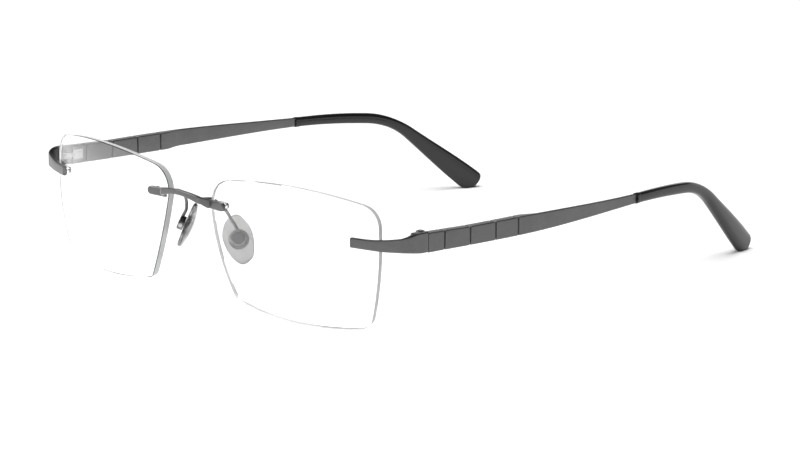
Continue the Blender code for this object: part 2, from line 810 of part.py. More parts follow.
def pad_box():
    """A round cup, open towards the nose, with a cross hole for the pivot screw."""
    half = BOX_HALF_DEPTH
    profile = (
        (0, -half),
        (BOX_RADIUS - 0.2, -half),
        (BOX_RADIUS, -half + 0.2),
        (BOX_RADIUS, half),
        (BOX_INSIDE, half),
        (BOX_INSIDE, -half + BOX_FLOOR),
        (0, -half + BOX_FLOOR),
    )
    mesh = less(turned(profile), cross_bore())
    mesh.transform(pad_frame())
    return mesh


def pad_core():
    """The disc moulded into the pad, with the stem that the pivot screw holds."""
    radius, back = CORE_DISC_RADIUS, CORE_DISC_BACK
    top = back + CORE_DISC_THICKNESS
    middle = (back + top) / 2
    stem = turned(((0, STEM_BACK), (STEM_RADIUS, STEM_BACK), (STEM_RADIUS, middle), (0, middle)), 14)
    disc = turned(((0, back), (radius, back), (radius, top), (0, top)), 24)
    mesh = less(united(stem, disc), cross_bore())
    mesh.transform(pad_frame())
    return mesh


def pivot_screw():
    """The screw across the box, on which the pad rocks."""
    end = BOX_RADIUS + 0.04
    profile = (
        (0, -end),
        (PIVOT_RADIUS, -end),
        (PIVOT_RADIUS, end),
        (PIVOT_HEAD_RADIUS, end),
        (PIVOT_HEAD_RADIUS, end + PIVOT_HEAD_HEIGHT),
        (0, end + PIVOT_HEAD_HEIGHT),
    )
    mesh = turned(profile, 12)
    turn = Matrix.Rotation(-math.pi / 2, 4, "X")
    mesh.transform(pad_frame() @ Matrix.Translation((0, 0, PIVOT_LIFT)) @ turn)
    return mesh


def nose_pad():
    """The soft pad: a drop-shaped cushion, crowned towards the nose, recessed for its core."""
    outline = curve_through([(*point, 0.0) for point in PAD_OUTLINE], 3, closed=True)
    edge = PAD_BACK + PAD_SIDE_THICKNESS
    levels = (
        (0.90, PAD_BACK, 0.0),
        (0.985, PAD_BACK + 0.25, 0.0),
        (1.0, PAD_BACK + 0.55, 0.0),
        (0.93, edge, 0.25),
        (0.75, edge, 0.6),
        (0.48, edge, 0.88),
        (0.22, edge, 1.0),
    )
    loops = []
    for share, height, crown in levels:
        loops.append([Vector((p.x * share, p.y * share, height + PAD_CROWN * crown)) for p in outline])
    mesh = loft(loops)
    radius = CORE_DISC_RADIUS + PAD_RECESS_GAP
    floor = CORE_DISC_BACK + CORE_DISC_THICKNESS + PAD_RECESS_GAP
    recess = turned(((0, 0), (radius, 0), (radius, floor), (0, floor)), 24)
    mesh = less(mesh, recess)
    mesh.transform(pad_frame())
    return mesh


# ---------------------------------------------------------------- assembly


def empty(name, place, parent=None):
    """A marker that pieces hang from, at a place in millimetres."""
    marker = bpy.data.objects.new(name, None)
    marker.empty_display_size = 0.005
    marker.location = place * MM
    marker.parent = parent
    bpy.context.scene.collection.objects.link(marker)
    return marker


def add(name, mesh, material, parent, origin=Vector((0, 0, 0))):
    """A finished piece whose mesh is in datum millimetres, hung from a marker at origin."""
    mesh.transform(Matrix.Translation(-origin))
    mesh.transform(Matrix.Scale(MM, 4))
    piece = to_object(name, mesh)
    piece.data.materials.append(material)
    piece.data.shade_smooth()
    piece.data.set_sharp_from_angle(angle=math.radians(35))
    piece.parent = parent
    return piece


def mirrored(mesh):
    """The mirror image of a mesh in the YZ plane."""
    twin = mesh.copy()
    twin.transform(Matrix.Scale(-1, 4, (1, 0, 0)))
    bmesh.ops.reverse_faces(twin, faces=twin.faces)
    return twin


def add_pair(name, mesh, material, parents, origin=Vector((0, 0, 0))):
    """A left piece and its right twin."""
    twin = mirrored(mesh)
    pair = [add(f"{name}_left", mesh, material, parents[0], origin)]
    pair.append(add(f"{name}_right", twin, material, parents[1], origin * Vector((-1, 1, 1))))
    return pair


def stand_on_floor(datum, pieces):
    """Moves the datum so that the middle of the object's base is the world's origin."""
    bpy.context.view_layer.update()
    corners = [piece.matrix_world @ Vector(corner) for piece in pieces for corner in piece.bound_box]
    depths = [corner.y for corner in corners]
    datum.location.y -= (min(depths) + max(depths)) / 2


def main():
    for old in list(bpy.data.objects):
        bpy.data.objects.remove(old)
    gunmetal = finish("gunmetal", (0.13, 0.13, 0.13), 0.38, 1.0)
    steel = finish("steel", (0.35, 0.35, 0.35), 0.3, 1.0)
    clear = finish("clear_lens", (1.0, 1.0, 1.0), 0.02, 0.0, 1.0)
    silicone = finish("pad_silicone", (0.8, 0.8, 0.8), 0.2, 0.0, 0.8)
    black = finish("black_acetate", (0.012, 0.012, 0.012), 0.25, 0.0)

    datum = empty("front_datum", Vector((0, 0, 0)))
    fixed = (datum, datum)
    pivot = pad_frame() @ Vector((0, 0, PIVOT_LIFT))
    hinges = []
    rockers = []
    for side, way in (("left", 1), ("right", -1)):
        flip = Vector((way, 1, 1))
        hinges.append(empty(f"temple_axis_{side}", HINGE * flip, datum))
        rockers.append(empty(f"pad_axis_{side}", pivot * flip, datum))

    pieces = [add("bridge", bridge(), gunmetal, datum)]
    pieces += add_pair("lens", lens(), clear, fixed)
    pieces += add_pair("endpiece", endpiece(), gunmetal, fixed)
    pieces += add_pair("bridge_sleeve", sleeve(lug_posts()), silicone, fixed)
    pieces += add_pair("endpiece_sleeve", sleeve(tab_posts()), silicone, fixed)
    pieces += add_pair("hinge_screw", hinge_screw(), steel, fixed)
    pieces += add_pair("lower_washer", lower_washer(), silicone, fixed)
    pieces += add_pair("upper_washer", upper_washer(), silicone, fixed)
    pieces += add_pair("pad_arm", pad_arm(), gunmetal, fixed)
    pieces += add_pair("pad_box", pad_box(), gunmetal, fixed)
    pieces += add_pair("pad_screw", pivot_screw(), steel, fixed)
    pieces += add_pair("nose_pad", nose_pad(), silicone, rockers, pivot)
    pieces += add_pair("pad_core", pad_core(), steel, rockers, pivot)
    pieces += add_pair("hinge_leaf", hinge_leaf(), steel, hinges, HINGE)
    pieces += add_pair("temple_blade", temple_blade(), gunmetal, hinges, HINGE)
    pieces += add_pair("temple_collar", tip_collar(), black, hinges, HINGE)
    pieces += add_pair("temple_tip", temple_tip(), black, hinges, HINGE)
    stand_on_floor(datum, pieces)


main()
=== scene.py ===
"""Looks of a pair of rimless eyeglasses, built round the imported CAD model.

+X is the wearer's left, +Y runs back along the temples, +Z is up, and the floor is Z = 0.
Sizes are millimetres measured from a datum just behind the middle of the bridge, and each
finished mesh is scaled to metres and moved onto the frame. A left piece is modelled first,
and its right twin is the mirror image in the YZ plane.
"""

import logging
import math
from collections.abc import Callable, Iterable, Sequence
from dataclasses import dataclass, field
from enum import Enum

import bmesh
import bpy
from mathutils import Matrix, Vector


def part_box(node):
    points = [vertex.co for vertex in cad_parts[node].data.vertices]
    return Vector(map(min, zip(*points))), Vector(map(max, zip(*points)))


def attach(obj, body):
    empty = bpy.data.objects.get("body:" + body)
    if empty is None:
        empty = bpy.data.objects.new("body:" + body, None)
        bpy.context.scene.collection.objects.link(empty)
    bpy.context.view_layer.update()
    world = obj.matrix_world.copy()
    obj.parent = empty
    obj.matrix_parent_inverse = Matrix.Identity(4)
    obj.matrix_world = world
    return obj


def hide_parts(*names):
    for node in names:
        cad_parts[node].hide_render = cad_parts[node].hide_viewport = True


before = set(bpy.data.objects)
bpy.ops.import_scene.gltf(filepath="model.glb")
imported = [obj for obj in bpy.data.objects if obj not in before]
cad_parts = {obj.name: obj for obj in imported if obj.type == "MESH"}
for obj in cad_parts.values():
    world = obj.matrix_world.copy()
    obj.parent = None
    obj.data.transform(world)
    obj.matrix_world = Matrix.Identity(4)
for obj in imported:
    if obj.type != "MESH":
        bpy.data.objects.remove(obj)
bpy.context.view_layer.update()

MM = 0.001
UP = Vector((0.0, 0.0, 1.0))
LOG = logging.getLogger("eyeglasses")

Loop = list[Vector]
FlatLoop = list[tuple[float, float]]
Colour = tuple[float, float, float]


# ---------------------------------------------------------------- small sums


def smooth(value: float, start: float, end: float) -> float:
    """0 before start, 1 after end, and an even S between them.

    Args:
        value: Where to read the curve.
        start: Where it leaves 0.
        end: Where it reaches 1.

    Returns:
        A share from 0 to 1.
    """
    share = min(max((value - start) / (end - start), 0.0), 1.0)
    return share * share * (3.0 - 2.0 * share)


def spread(start: float, end: float, count: int) -> list[float]:
    """Evenly spaced values, both ends included.

    Args:
        start: First value.
        end: Last value.
        count: How many values.

    Returns:
        The values in order.
    """
    return [start + (end - start) * i / (count - 1) for i in range(count)]


def round_off(distance: float, radius: float) -> float:
    """How far a rounded edge has drawn in, this far from the end it rounds.

    Args:
        distance: Distance from the end, along the piece.
        radius: Radius of the rounding.

    Returns:
        How much is taken off each side.
    """
    if distance >= radius:
        return 0.0
    return radius - math.sqrt(max(radius**2 - (radius - distance) ** 2, 0.0))


def curve_through(points: Sequence[Sequence[float]], per_span: int, closed: bool = False) -> Loop:
    """A Catmull-Rom curve through points.

    Args:
        points: Points that the curve passes.
        per_span: Steps between two of them.
        closed: Whether the last point joins the first.

    Returns:
        Points along the curve.
    """
    knots = [Vector(point) for point in points]
    count = len(knots)
    line: Loop = []
    for span in range(count if closed else count - 1):
        picks = []
        for place in range(span - 1, span + 3):
            picks.append(knots[place % count] if closed else knots[min(max(place, 0), count - 1)])
        a, b, c, d = picks
        for step in range(per_span):
            t = step / per_span
            square = (2 * a - 5 * b + 4 * c - d) * t**2
            cube = (3 * b - a - 3 * c + d) * t**3
            line.append(0.5 * (2 * b + (c - a) * t + square + cube))
    if not closed:
        line.append(knots[-1])
    return line


def rounded_box(width: float, height: float, radius: float, steps: int = 6) -> FlatLoop:
    """Points round a rectangle with round corners.

    Args:
        width: Size across.
        height: Size up.
        radius: Corner radius.
        steps: Steps in each corner.

    Returns:
        Points as (across, up).
    """
    points = []
    for corner, (x, y) in enumerate(((1, 1), (-1, 1), (-1, -1), (1, -1))):
        across, rise = x * (width / 2 - radius), y * (height / 2 - radius)
        for step in range(steps + 1):
            angle = math.pi / 2 * (corner + step / steps)
            points.append((across + radius * math.cos(angle), rise + radius * math.sin(angle)))
    return points


def oval(width: float, height: float, power: float = 2.6, count: int = 48) -> FlatLoop:
    """Points round an ellipse with full shoulders.

    Args:
        width: Size across.
        height: Size up.
        power: 2 is a true ellipse, and more fills the shoulders.
        count: How many points.

    Returns:
        Points as (across, up).
    """
    points = []
    for i in range(count):
        angle = math.tau * (i + 0.5) / count
        x, y = math.cos(angle), math.sin(angle)
        grow = (abs(x) ** power + abs(y) ** power) ** (-1.0 / power)
        points.append((width / 2 * x * grow, height / 2 * y * grow))
    return points


def placed(points: FlatLoop, centre: Vector, side: Vector, up: Vector) -> Loop:
    """Flat points put round a centre.

    Args:
        points: Points as (across, up).
        centre: Where their middle goes.
        side: Direction of across.
        up: Direction of up.

    Returns:
        The points in space.
    """
    return [centre + side * across + up * rise for across, rise in points]


# ---------------------------------------------------------------- meshes


class Side(Enum):
    """Which half of the pair a piece belongs to."""

    LEFT = 1
    RIGHT = -1

    @property
    def word(self) -> str:
        """The side as it ends a piece's name."""
        return self.name.lower()


class Cut(Enum):
    """How one solid meets another."""

    JOIN = "UNION"
    TAKE_AWAY = "DIFFERENCE"


class Solid:
    """A closed mesh in millimetres, made by lofting, turning and Booleans."""

    def __init__(self, mesh: bmesh.types.BMesh) -> None:
        """Keeps a mesh.

        Args:
            mesh: The mesh, which the solid then owns.
        """
        self.mesh = mesh

    @classmethod
    def loft(cls, loops: Sequence[Loop]) -> "Solid":
        """A skin through loops of equal length, capped at both ends.

        Args:
            loops: The loops in order.

        Returns:
            The closed solid.
        """
        mesh = bmesh.new()
        rings = [[mesh.verts.new(point) for point in loop] for loop in loops]
        for near, far in zip(rings, rings[1:]):
            cls.join_loops(mesh, near, far)
        mesh.faces.new(rings[0])
        mesh.faces.new(rings[-1])
        bmesh.ops.recalc_face_normals(mesh, faces=mesh.faces)
        return cls(mesh)

    @staticmethod
    def join_loops(mesh: bmesh.types.BMesh, near: list, far: list) -> None:
        """Joins two rings of vertices with faces.

        Args:
            mesh: The mesh that holds them.
            near: One ring, or one vertex.
            far: The other ring, or one vertex.
        """
        count = max(len(near), len(far))
        for i in range(count):
            j = (i + 1) % count
            if len(near) == 1:
                mesh.faces.new((near[0], far[i], far[j]))
            elif len(far) == 1:
                mesh.faces.new((near[i], far[0], near[j]))
            else:
                mesh.faces.new((near[i], near[j], far[j], far[i]))

    @classmethod
    def turned(cls, profile: Sequence[tuple[float, float]], segments: int = 48) -> "Solid":
        """A solid of revolution about Z.

        Args:
            profile: Points as (radius, height), where radius 0 is the axis.
            segments: Steps round the axis.

        Returns:
            The closed solid.
        """
        mesh = bmesh.new()
        rings = []
        for radius, height in profile:
            angles = [math.tau * i / segments for i in range(segments if radius else 1)]
            ring = [(radius * math.cos(a), radius * math.sin(a), height) for a in angles]
            rings.append([mesh.verts.new(point) for point in ring])
        pairs = list(zip(rings, rings[1:]))
        if len(rings[0]) > 1:
            pairs.append((rings[-1], rings[0]))
        for near, far in pairs:
            cls.join_loops(mesh, near, far)
        bmesh.ops.recalc_face_normals(mesh, faces=mesh.faces)
        return cls(mesh)

    @classmethod
    def rod(
        cls, start: Vector, end: Vector, radius: float, chamfer: float = 0.0, segments: int = 32
    ) -> "Solid":
        """A round bar between two points.

        Args:
            start: One end.
            end: The other end.
            radius: Its radius.
            chamfer: Width taken off the rim at each end.
            segments: Steps round it.

        Returns:
            The closed solid.
        """
        length = (end - start).length
        profile = [(0.0, 0.0), (radius, 0.0), (radius, length), (0.0, length)]
        if chamfer:
            lower = [(radius - chamfer, 0.0), (radius, chamfer)]
            upper = [(radius, length - chamfer), (radius - chamfer, length)]
            profile[1:3] = lower + upper
        turn = UP.rotation_difference(end - start).to_matrix().to_4x4()
        return cls.turned(profile, segments).moved(Matrix.Translation(start) @ turn)

    @classmethod
    def block(cls, low: Sequence[float], high: Sequence[float]) -> "Solid":
        """A box between two corners, used as a cutter or a small plate.

        Args:
            low: Lowest corner.
            high: Highest corner.

        Returns:
            The closed solid.
        """
        start, end = Vector(low), Vector(high)
        mesh = bmesh.new()
        size = Matrix.Diagonal((*(end - start), 1.0))
        bmesh.ops.create_cube(mesh, size=1.0, matrix=Matrix.Translation((start + end) / 2) @ size)
        return cls(mesh)

    @classmethod
    def tube(cls, line: Loop, radii: Sequence[float], sides: int = 24) -> "Solid":
        """A round wire along a line.

        Args:
            line: Points that it follows.
            radii: Its radius at each point.
            sides: Steps round it.

        Returns:
            The closed solid.
        """
        loops = []
        up = Vector((1.0, 0.0, 0.0))
        for i, point in enumerate(line):
            ahead = (line[min(i + 1, len(line) - 1)] - line[max(i - 1, 0)]).normalized()
            up = (up - ahead * up.dot(ahead)).normalized()
            loops.append(placed(oval(2 * radii[i], 2 * radii[i], 2.0, sides), point, ahead.cross(up), up))
        return cls.loft(loops)

    def moved(self, matrix: Matrix) -> "Solid":
        """This solid after a rigid move.

        Args:
            matrix: The move.

        Returns:
            The same solid.
        """
        self.mesh.transform(matrix)
        return self

    def twin(self, side: Side) -> "Solid":
        """A copy of this left solid for one side.

        Args:
            side: The side to make.

        Returns:
            A new solid.
        """
        copy = self.mesh.copy()
        if side is Side.RIGHT:
            copy.transform(Matrix.Scale(-1, 4, (1, 0, 0)))
            bmesh.ops.reverse_faces(copy, faces=copy.faces)
        return Solid(copy)

    def combined(self, cut: Cut, tools: Iterable["Solid"]) -> "Solid":
        """What is left after Booleans with other solids.

        Args:
            cut: Whether they are joined on or taken away.
            tools: The other solids, which are used up.

        Returns:
            The same solid.
        """
        for tool in tools:
            pair = [self._as_object(self.mesh), self._as_object(tool.mesh)]
            modifier = pair[0].modifiers.new("Boolean", "BOOLEAN")
            modifier.operation = cut.value
            modifier.object = pair[1]
            graph = bpy.context.evaluated_depsgraph_get()
            result = bpy.data.meshes.new_from_object(pair[0].evaluated_get(graph))
            self.mesh = bmesh.new()
            self.mesh.from_mesh(result)
            bpy.data.meshes.remove(result)
            for helper in pair:
                data = helper.data
                bpy.data.objects.remove(helper)
                bpy.data.meshes.remove(data)
        return self

    @staticmethod
    def _as_object(mesh: bmesh.types.BMesh) -> bpy.types.Object:
        """A short-lived object for a Boolean.

        Args:
            mesh: Its mesh, which is used up.

        Returns:
            The object.
        """
        data = bpy.data.meshes.new("helper")
        mesh.to_mesh(data)
        mesh.free()
        helper = bpy.data.objects.new("helper", data)
        bpy.context.scene.collection.objects.link(helper)
        return helper

    def joined(self, *tools: "Solid") -> "Solid":
        """This solid with others joined on."""
        return self.combined(Cut.JOIN, tools)

    def less(self, *tools: "Solid") -> "Solid":
        """This solid with others taken away."""
        return self.combined(Cut.TAKE_AWAY, tools)


# ---------------------------------------------------------------- shader effects


class Board:
    """A node tree with short ways to add and join nodes."""

    def __init__(self, tree: bpy.types.NodeTree) -> None:
        """Keeps a tree.

        Args:
            tree: The tree to work on.
        """
        self.tree = tree

    def add(self, kind: str, inputs: dict | None = None, **settings: object) -> bpy.types.Node:
        """A new node.

        Args:
            kind: Its Blender type.
            inputs: Values or sockets for its inputs, by name or place.
            **settings: Its own properties.

        Returns:
            The node.
        """
        node = self.tree.nodes.new(kind)
        for name, value in settings.items():
            setattr(node, name, value)
        for key, value in (inputs or {}).items():
            if isinstance(value, bpy.types.NodeSocket):
                self.tree.links.new(value, node.inputs[key])
            else:
                node.inputs[key].default_value = value
        return node

    def sum(self, operation: str, *terms: object, clamp: bool = False) -> bpy.types.NodeSocket:
        """A Math node's result.

        Args:
            operation: What it works out.
            *terms: Its values or sockets.
            clamp: Whether the result stays from 0 to 1.

        Returns:
            The result's socket.
        """
        node = self.add("ShaderNodeMath", dict(enumerate(terms)), operation=operation, use_clamp=clamp)
        return node.outputs[0]

    def blend(self, share: object, first: object, second: object) -> bpy.types.NodeSocket:
        """A mix of two colours.

        Args:
            share: How much of the second.
            first: The colour at 0.
            second: The colour at 1.

        Returns:
            The mixed colour's socket.
        """
        node = self.add("ShaderNodeMix", {0: share, 6: first, 7: second}, data_type="RGBA")
        return node.outputs[2]

    def between(self, share: object, low: object, high: object) -> bpy.types.NodeSocket:
        """A number from low to high.

        Args:
            share: Where between them, from 0 to 1.
            low: The number at 0.
            high: The number at 1.

        Returns:
            The number's socket.
        """
        node = self.add("ShaderNodeMapRange", {"Value": share, "To Min": low, "To Max": high})
        return node.outputs[0]


class Effect(Enum):
    """Surface effects that finishes share, each a node group."""

    GRAIN = "fine_grain"
    CLOUDS = "tone_clouds"
    POLISH = "edge_polish"
    STROKES = "lapping_strokes"

    def group(self) -> bpy.types.NodeTree:
        """The effect's node group, built the first time that it is asked for."""
        found = bpy.data.node_groups.get(self.value)
        if found:
            return found
        tree = bpy.data.node_groups.new(self.value, "ShaderNodeTree")
        maker = {
            Effect.GRAIN: fine_grain,
            Effect.CLOUDS: tone_clouds,
            Effect.POLISH: edge_polish,
            Effect.STROKES: lapping_strokes,
        }[self]
        maker(tree)
        return tree


def open_group(
    tree: bpy.types.NodeTree, inputs: Sequence[tuple[str, str, object]], outputs: Sequence[tuple[str, str]]
) -> tuple[Board, bpy.types.Node, bpy.types.Node]:
    """Gives a group its named sockets.

    Args:
        tree: The group's tree.
        inputs: Name, kind and first value of each input.
        outputs: Name and kind of each output.

    Returns:
        The board, the group's input node and its output node.
    """
    for name, kind, value in inputs:
        socket = tree.interface.new_socket(name, in_out="INPUT", socket_type=f"NodeSocket{kind}")
        if value is not None:
            socket.default_value = value
    for name, kind in outputs:
        tree.interface.new_socket(name, in_out="OUTPUT", socket_type=f"NodeSocket{kind}")
    board = Board(tree)
    return board, board.add("NodeGroupInput"), board.add("NodeGroupOutput")


def fine_grain(tree: bpy.types.NodeTree) -> None:
    """Fills the group for a blasted or moulded surface: a height and a value for roughness.

    Args:
        tree: The group's tree.
    """
    board, given, made = open_group(
        tree,
        (("Position", "Vector", None), ("Per Metre", "Float", 9000.0), ("Coarse Share", "Float", 0.3)),
        (("Height", "Float"), ("Value", "Float")),
    )
    position = given.outputs["Position"]
    fine = board.add(
        "ShaderNodeTexNoise",
        {"Vector": position, "Scale": given.outputs["Per Metre"], "Detail": 2.0, "Roughness": 0.6},
    )
    pit_scale = board.sum("MULTIPLY", given.outputs["Per Metre"], 0.4)
    pits = board.add("ShaderNodeTexVoronoi", {"Vector": position, "Scale": pit_scale})
    pit = board.sum("MULTIPLY", pits.outputs["Distance"], given.outputs["Coarse Share"])
    height = board.sum("ADD", fine.outputs[0], pit)
    tree.links.new(height, made.inputs["Height"])
    tree.links.new(board.sum("SMOOTH_MIN", height, 1.0, 0.2), made.inputs["Value"])


def tone_clouds(tree: bpy.types.NodeTree) -> None:
    """Fills the group for the soft, uneven tone of a plated or moulded surface.

    Args:
        tree: The group's tree.
    """
    board, given, made = open_group(
        tree,
        (
            ("Position", "Vector", None),
            ("Colour", "Color", None),
            ("Lighter", "Color", None),
            ("Per Metre", "Float", 120.0),
        ),
        (("Colour", "Color"), ("Share", "Float")),
    )
    cloud = board.add(
        "ShaderNodeTexNoise",
        {"Vector": given.outputs["Position"], "Scale": given.outputs["Per Metre"], "Detail": 4.0},
    )
    speck = board.add(
        "ShaderNodeTexNoise",
        {
            "Vector": given.outputs["Position"],
            "Scale": board.sum("MULTIPLY", given.outputs["Per Metre"], 22.0),
            "Detail": 1.0,
        },
    )
    share = board.sum("MULTIPLY_ADD", speck.outputs[0], 0.35, board.sum("MULTIPLY", cloud.outputs[0], 0.65))
    clear = board.add("ShaderNodeMapRange", {"Value": share, "From Min": 0.35, "From Max": 0.65})
    mixed = board.blend(clear.outputs[0], given.outputs["Colour"], given.outputs["Lighter"])
    tree.links.new(mixed, made.inputs["Colour"])
    tree.links.new(clear.outputs[0], made.inputs["Share"])


def edge_polish(tree: bpy.types.NodeTree) -> None:
    """Fills the group that masks the sharp edges, mottled: there the finishes turn smoother, and the plating
    also gets a painted highlight.

    Args:
        tree: The group's tree.
    """
    board, given, made = open_group(
        tree,
        (("Position", "Vector", None), ("Amount", "Float", 0.5)),
        (("Mask", "Float"),),
    )
    edge = board.add("ShaderNodeAttribute", attribute_name="edge")
    mottle = {"Vector": given.outputs["Position"], "Scale": 900.0, "Detail": 3.0}
    patch = board.add("ShaderNodeTexNoise", mottle)
    # The edge mask: it smooths roughness, and on the plating it also drives the painted edge highlight.
    polish_and_highlight = board.sum("MULTIPLY", edge.outputs["Fac"], board.between(patch.outputs[0], 0.4, 1.0), clamp=True)
    tree.links.new(board.sum("MULTIPLY", polish_and_highlight, given.outputs["Amount"]), made.inputs["Mask"])


def lapping_strokes(tree: bpy.types.NodeTree) -> None:
    """Fills the group for fine strokes that run along a piece.

    Args:
        tree: The group's tree.
    """
    board, given, made = open_group(
        tree,
        (
            ("Position", "Vector", None),
            ("Stretch", "Vector", (1.0, 1.0, 1.0)),
            ("Per Metre", "Float", 9000.0),
        ),
        (("Height", "Float"),),
    )
    stretched = board.add(
        "ShaderNodeVectorMath",
        {0: given.outputs["Position"], 1: given.outputs["Stretch"]},
        operation="MULTIPLY",
    )
    strokes = board.add(
        "ShaderNodeTexNoise",
        {"Vector": stretched.outputs[0], "Scale": given.outputs["Per Metre"], "Detail": 3.0},
    )
    tree.links.new(strokes.outputs[0], made.inputs["Height"])


# ---------------------------------------------------------------- finishes


class Bench:
    """A material under way: its board, its shader and the piece's own position."""

    def __init__(self, name: str) -> None:
        """Starts a material.

        Args:
            name: The material's name.
        """
        self.material = bpy.data.materials.new(name)
        self.material.use_nodes = True
        self.board = Board(self.material.node_tree)
        self.shader = self.material.node_tree.nodes["Principled BSDF"]
        self.output = self.material.node_tree.nodes["Material Output"]
        self.position = self.board.add("ShaderNodeTexCoord").outputs["Object"]

    def effect(self, effect: Effect, inputs: dict) -> bpy.types.Node:
        """A shared effect placed in this material.

        Args:
            effect: Which one.
            inputs: Values or sockets for its inputs.

        Returns:
            The group node.
        """
        values = {"Position": self.position, **inputs}
        node = self.board.add("ShaderNodeGroup", node_tree=effect.group())
        for name, value in values.items():
            if isinstance(value, bpy.types.NodeSocket):
                self.board.tree.links.new(value, node.inputs[name])
            else:
                node.inputs[name].default_value = value
        return node

    def drive(self, inputs: dict) -> None:
        """Sets or links the shader's inputs.

        Args:
            inputs: Values or sockets by name.
        """
        for name, value in inputs.items():
            if isinstance(value, bpy.types.NodeSocket):
                self.board.tree.links.new(value, self.shader.inputs[name])
            else:
                self.shader.inputs[name].default_value = value

    def bump(self, height: bpy.types.NodeSocket, depth: float, strength: float = 1.0) -> None:
        """Raises the surface by a height.

        Args:
            height: The height's socket, 0 to 1.
            depth: Depth in metres of a height of 1.
            strength: How much of it shows.
        """
        node = self.board.add(
            "ShaderNodeBump", {"Height": height, "Distance": depth, "Strength": strength}
        )
        self.drive({"Normal": node.outputs[0]})

    def let_lamps_through(self) -> None:
        """Lets a lamp's light pass the piece, as clear plastic does."""
        tree = self.board.tree
        path = self.board.add("ShaderNodeLightPath")
        clear = self.board.add("ShaderNodeBsdfTransparent", {"Color": (0.93, 0.93, 0.93, 1.0)})
        mixed = self.board.add(
            "ShaderNodeMixShader",
            {0: path.outputs["Is Shadow Ray"], 1: self.shader.outputs[0], 2: clear.outputs[0]},
        )
        tree.links.new(mixed.outputs[0], self.output.inputs["Surface"])


@dataclass(frozen=True)
class SatinPlating:
    """Gunmetal plating with a blasted grain, smoother along its sharp edges, where a lighter colour is a
    painted highlight.
    """

    name: str = "satin_gunmetal"
    slot: str = "gunmetal"
    colour: Colour = (0.098, 0.097, 0.097)
    lighter: Colour = (0.122, 0.120, 0.120)
    # Colour of the painted highlight along sharp edges.
    edge: Colour = (0.260, 0.257, 0.255)
    roughness: float = 0.30
    rougher: float = 0.40
    grain_depth: float = 0.000004
    polish_and_highlight_amount: float = 0.55

    def build(self) -> bpy.types.Material:
        """Makes the material.

        Returns:
            The material.
        """
        bench = Bench(self.name)
        tone = bench.effect(Effect.CLOUDS, {"Colour": (*self.colour, 1.0), "Lighter": (*self.lighter, 1.0)})
        grain = bench.effect(Effect.GRAIN, {"Per Metre": 9000.0})
        polish_and_highlight = bench.effect(Effect.POLISH, {"Amount": self.polish_and_highlight_amount})
        # Painted highlight: the colour lightens towards the edge colour along sharp edges.
        colour = bench.board.blend(polish_and_highlight.outputs["Mask"], tone.outputs["Colour"], (*self.edge, 1.0))
        dull = bench.board.between(grain.outputs["Value"], self.roughness, self.rougher)
        smoother = bench.board.sum("MULTIPLY", polish_and_highlight.outputs["Mask"], 0.08)
        rough = bench.board.sum("SUBTRACT", dull, smoother)
        bench.drive({"Base Color": colour, "Roughness": rough, "Metallic": 1.0})
        bench.bump(grain.outputs["Height"], self.grain_depth)
        return bench.material


@dataclass(frozen=True)
class TurnedSteel:
    """Bright steel of screws and leaves, with fine strokes from the tool."""

    name: str = "turned_steel"
    slot: str = "steel"
    colour: Colour = (0.34, 0.335, 0.33)
    lighter: Colour = (0.46, 0.455, 0.45)
    roughness: float = 0.20
    rougher: float = 0.34

    def build(self) -> bpy.types.Material:
        """Makes the material.

        Returns:
            The material.
        """
        bench = Bench(self.name)
        tones = {"Colour": (*self.colour, 1.0), "Lighter": (*self.lighter, 1.0), "Per Metre": 600.0}
        tone = bench.effect(Effect.CLOUDS, tones)
        strokes = bench.effect(Effect.STROKES, {"Stretch": (0.15, 0.15, 1.0), "Per Metre": 14000.0})
        dull = bench.board.between(strokes.outputs["Height"], self.roughness, self.rougher)
        bench.drive({"Base Color": tone.outputs["Colour"], "Roughness": dull, "Metallic": 1.0})
        bench.bump(strokes.outputs["Height"], 0.000003)
        return bench.material


@dataclass(frozen=True)
class LensGlass:
    """Clear, hard-coated optical plastic."""

    name: str = "clear_lens_face"
    slot: str = "clear_lens"
    colour: Colour = (0.985, 0.99, 0.99)
    rim: bool = False

    def build(self) -> bpy.types.Material:
        """Makes the material of the faces, or of the ground and polished rim.

        Returns:
            The material.
        """
        bench = Bench(self.name)
        if self.rim:
            self._dress_rim(bench)
        else:
            self._dress_face(bench)
        bench.let_lamps_through()
        return bench.material

    def _dress_face(self, bench: Bench) -> None:
        """A clean face with the faintest wiping marks.

        Args:
            bench: The material under way.
        """
        smear = bench.effect(
            Effect.CLOUDS,
            {"Colour": (*self.colour, 1.0), "Lighter": (1.0, 1.0, 1.0, 1.0), "Per Metre": 60.0},
        )
        wiped = bench.board.between(smear.outputs["Share"], 0.0, 0.012)
        bench.drive({"Base Color": smear.outputs["Colour"], "Roughness": wiped, "IOR": 1.5})
        bench.drive({"Transmission Weight": 1.0, "Metallic": 0.0})

    def _dress_rim(self, bench: Bench) -> None:
        """The rim, ground round the outline and buffed.

        Args:
            bench: The material under way.
        """
        tone = bench.effect(
            Effect.CLOUDS,
            {"Colour": (*self.colour, 1.0), "Lighter": (0.50, 0.505, 0.505, 1.0), "Per Metre": 260.0},
        )
        strokes = bench.effect(Effect.STROKES, {"Stretch": (1.0, 0.12, 1.0), "Per Metre": 2600.0})
        dull = bench.board.between(strokes.outputs["Height"], 0.3, 0.42)
        bench.drive({"Base Color": tone.outputs["Colour"], "Roughness": dull, "IOR": 1.5})
        bench.drive({"Transmission Weight": 0.35, "Metallic": 0.0})
        bench.bump(strokes.outputs["Height"], 0.00001)


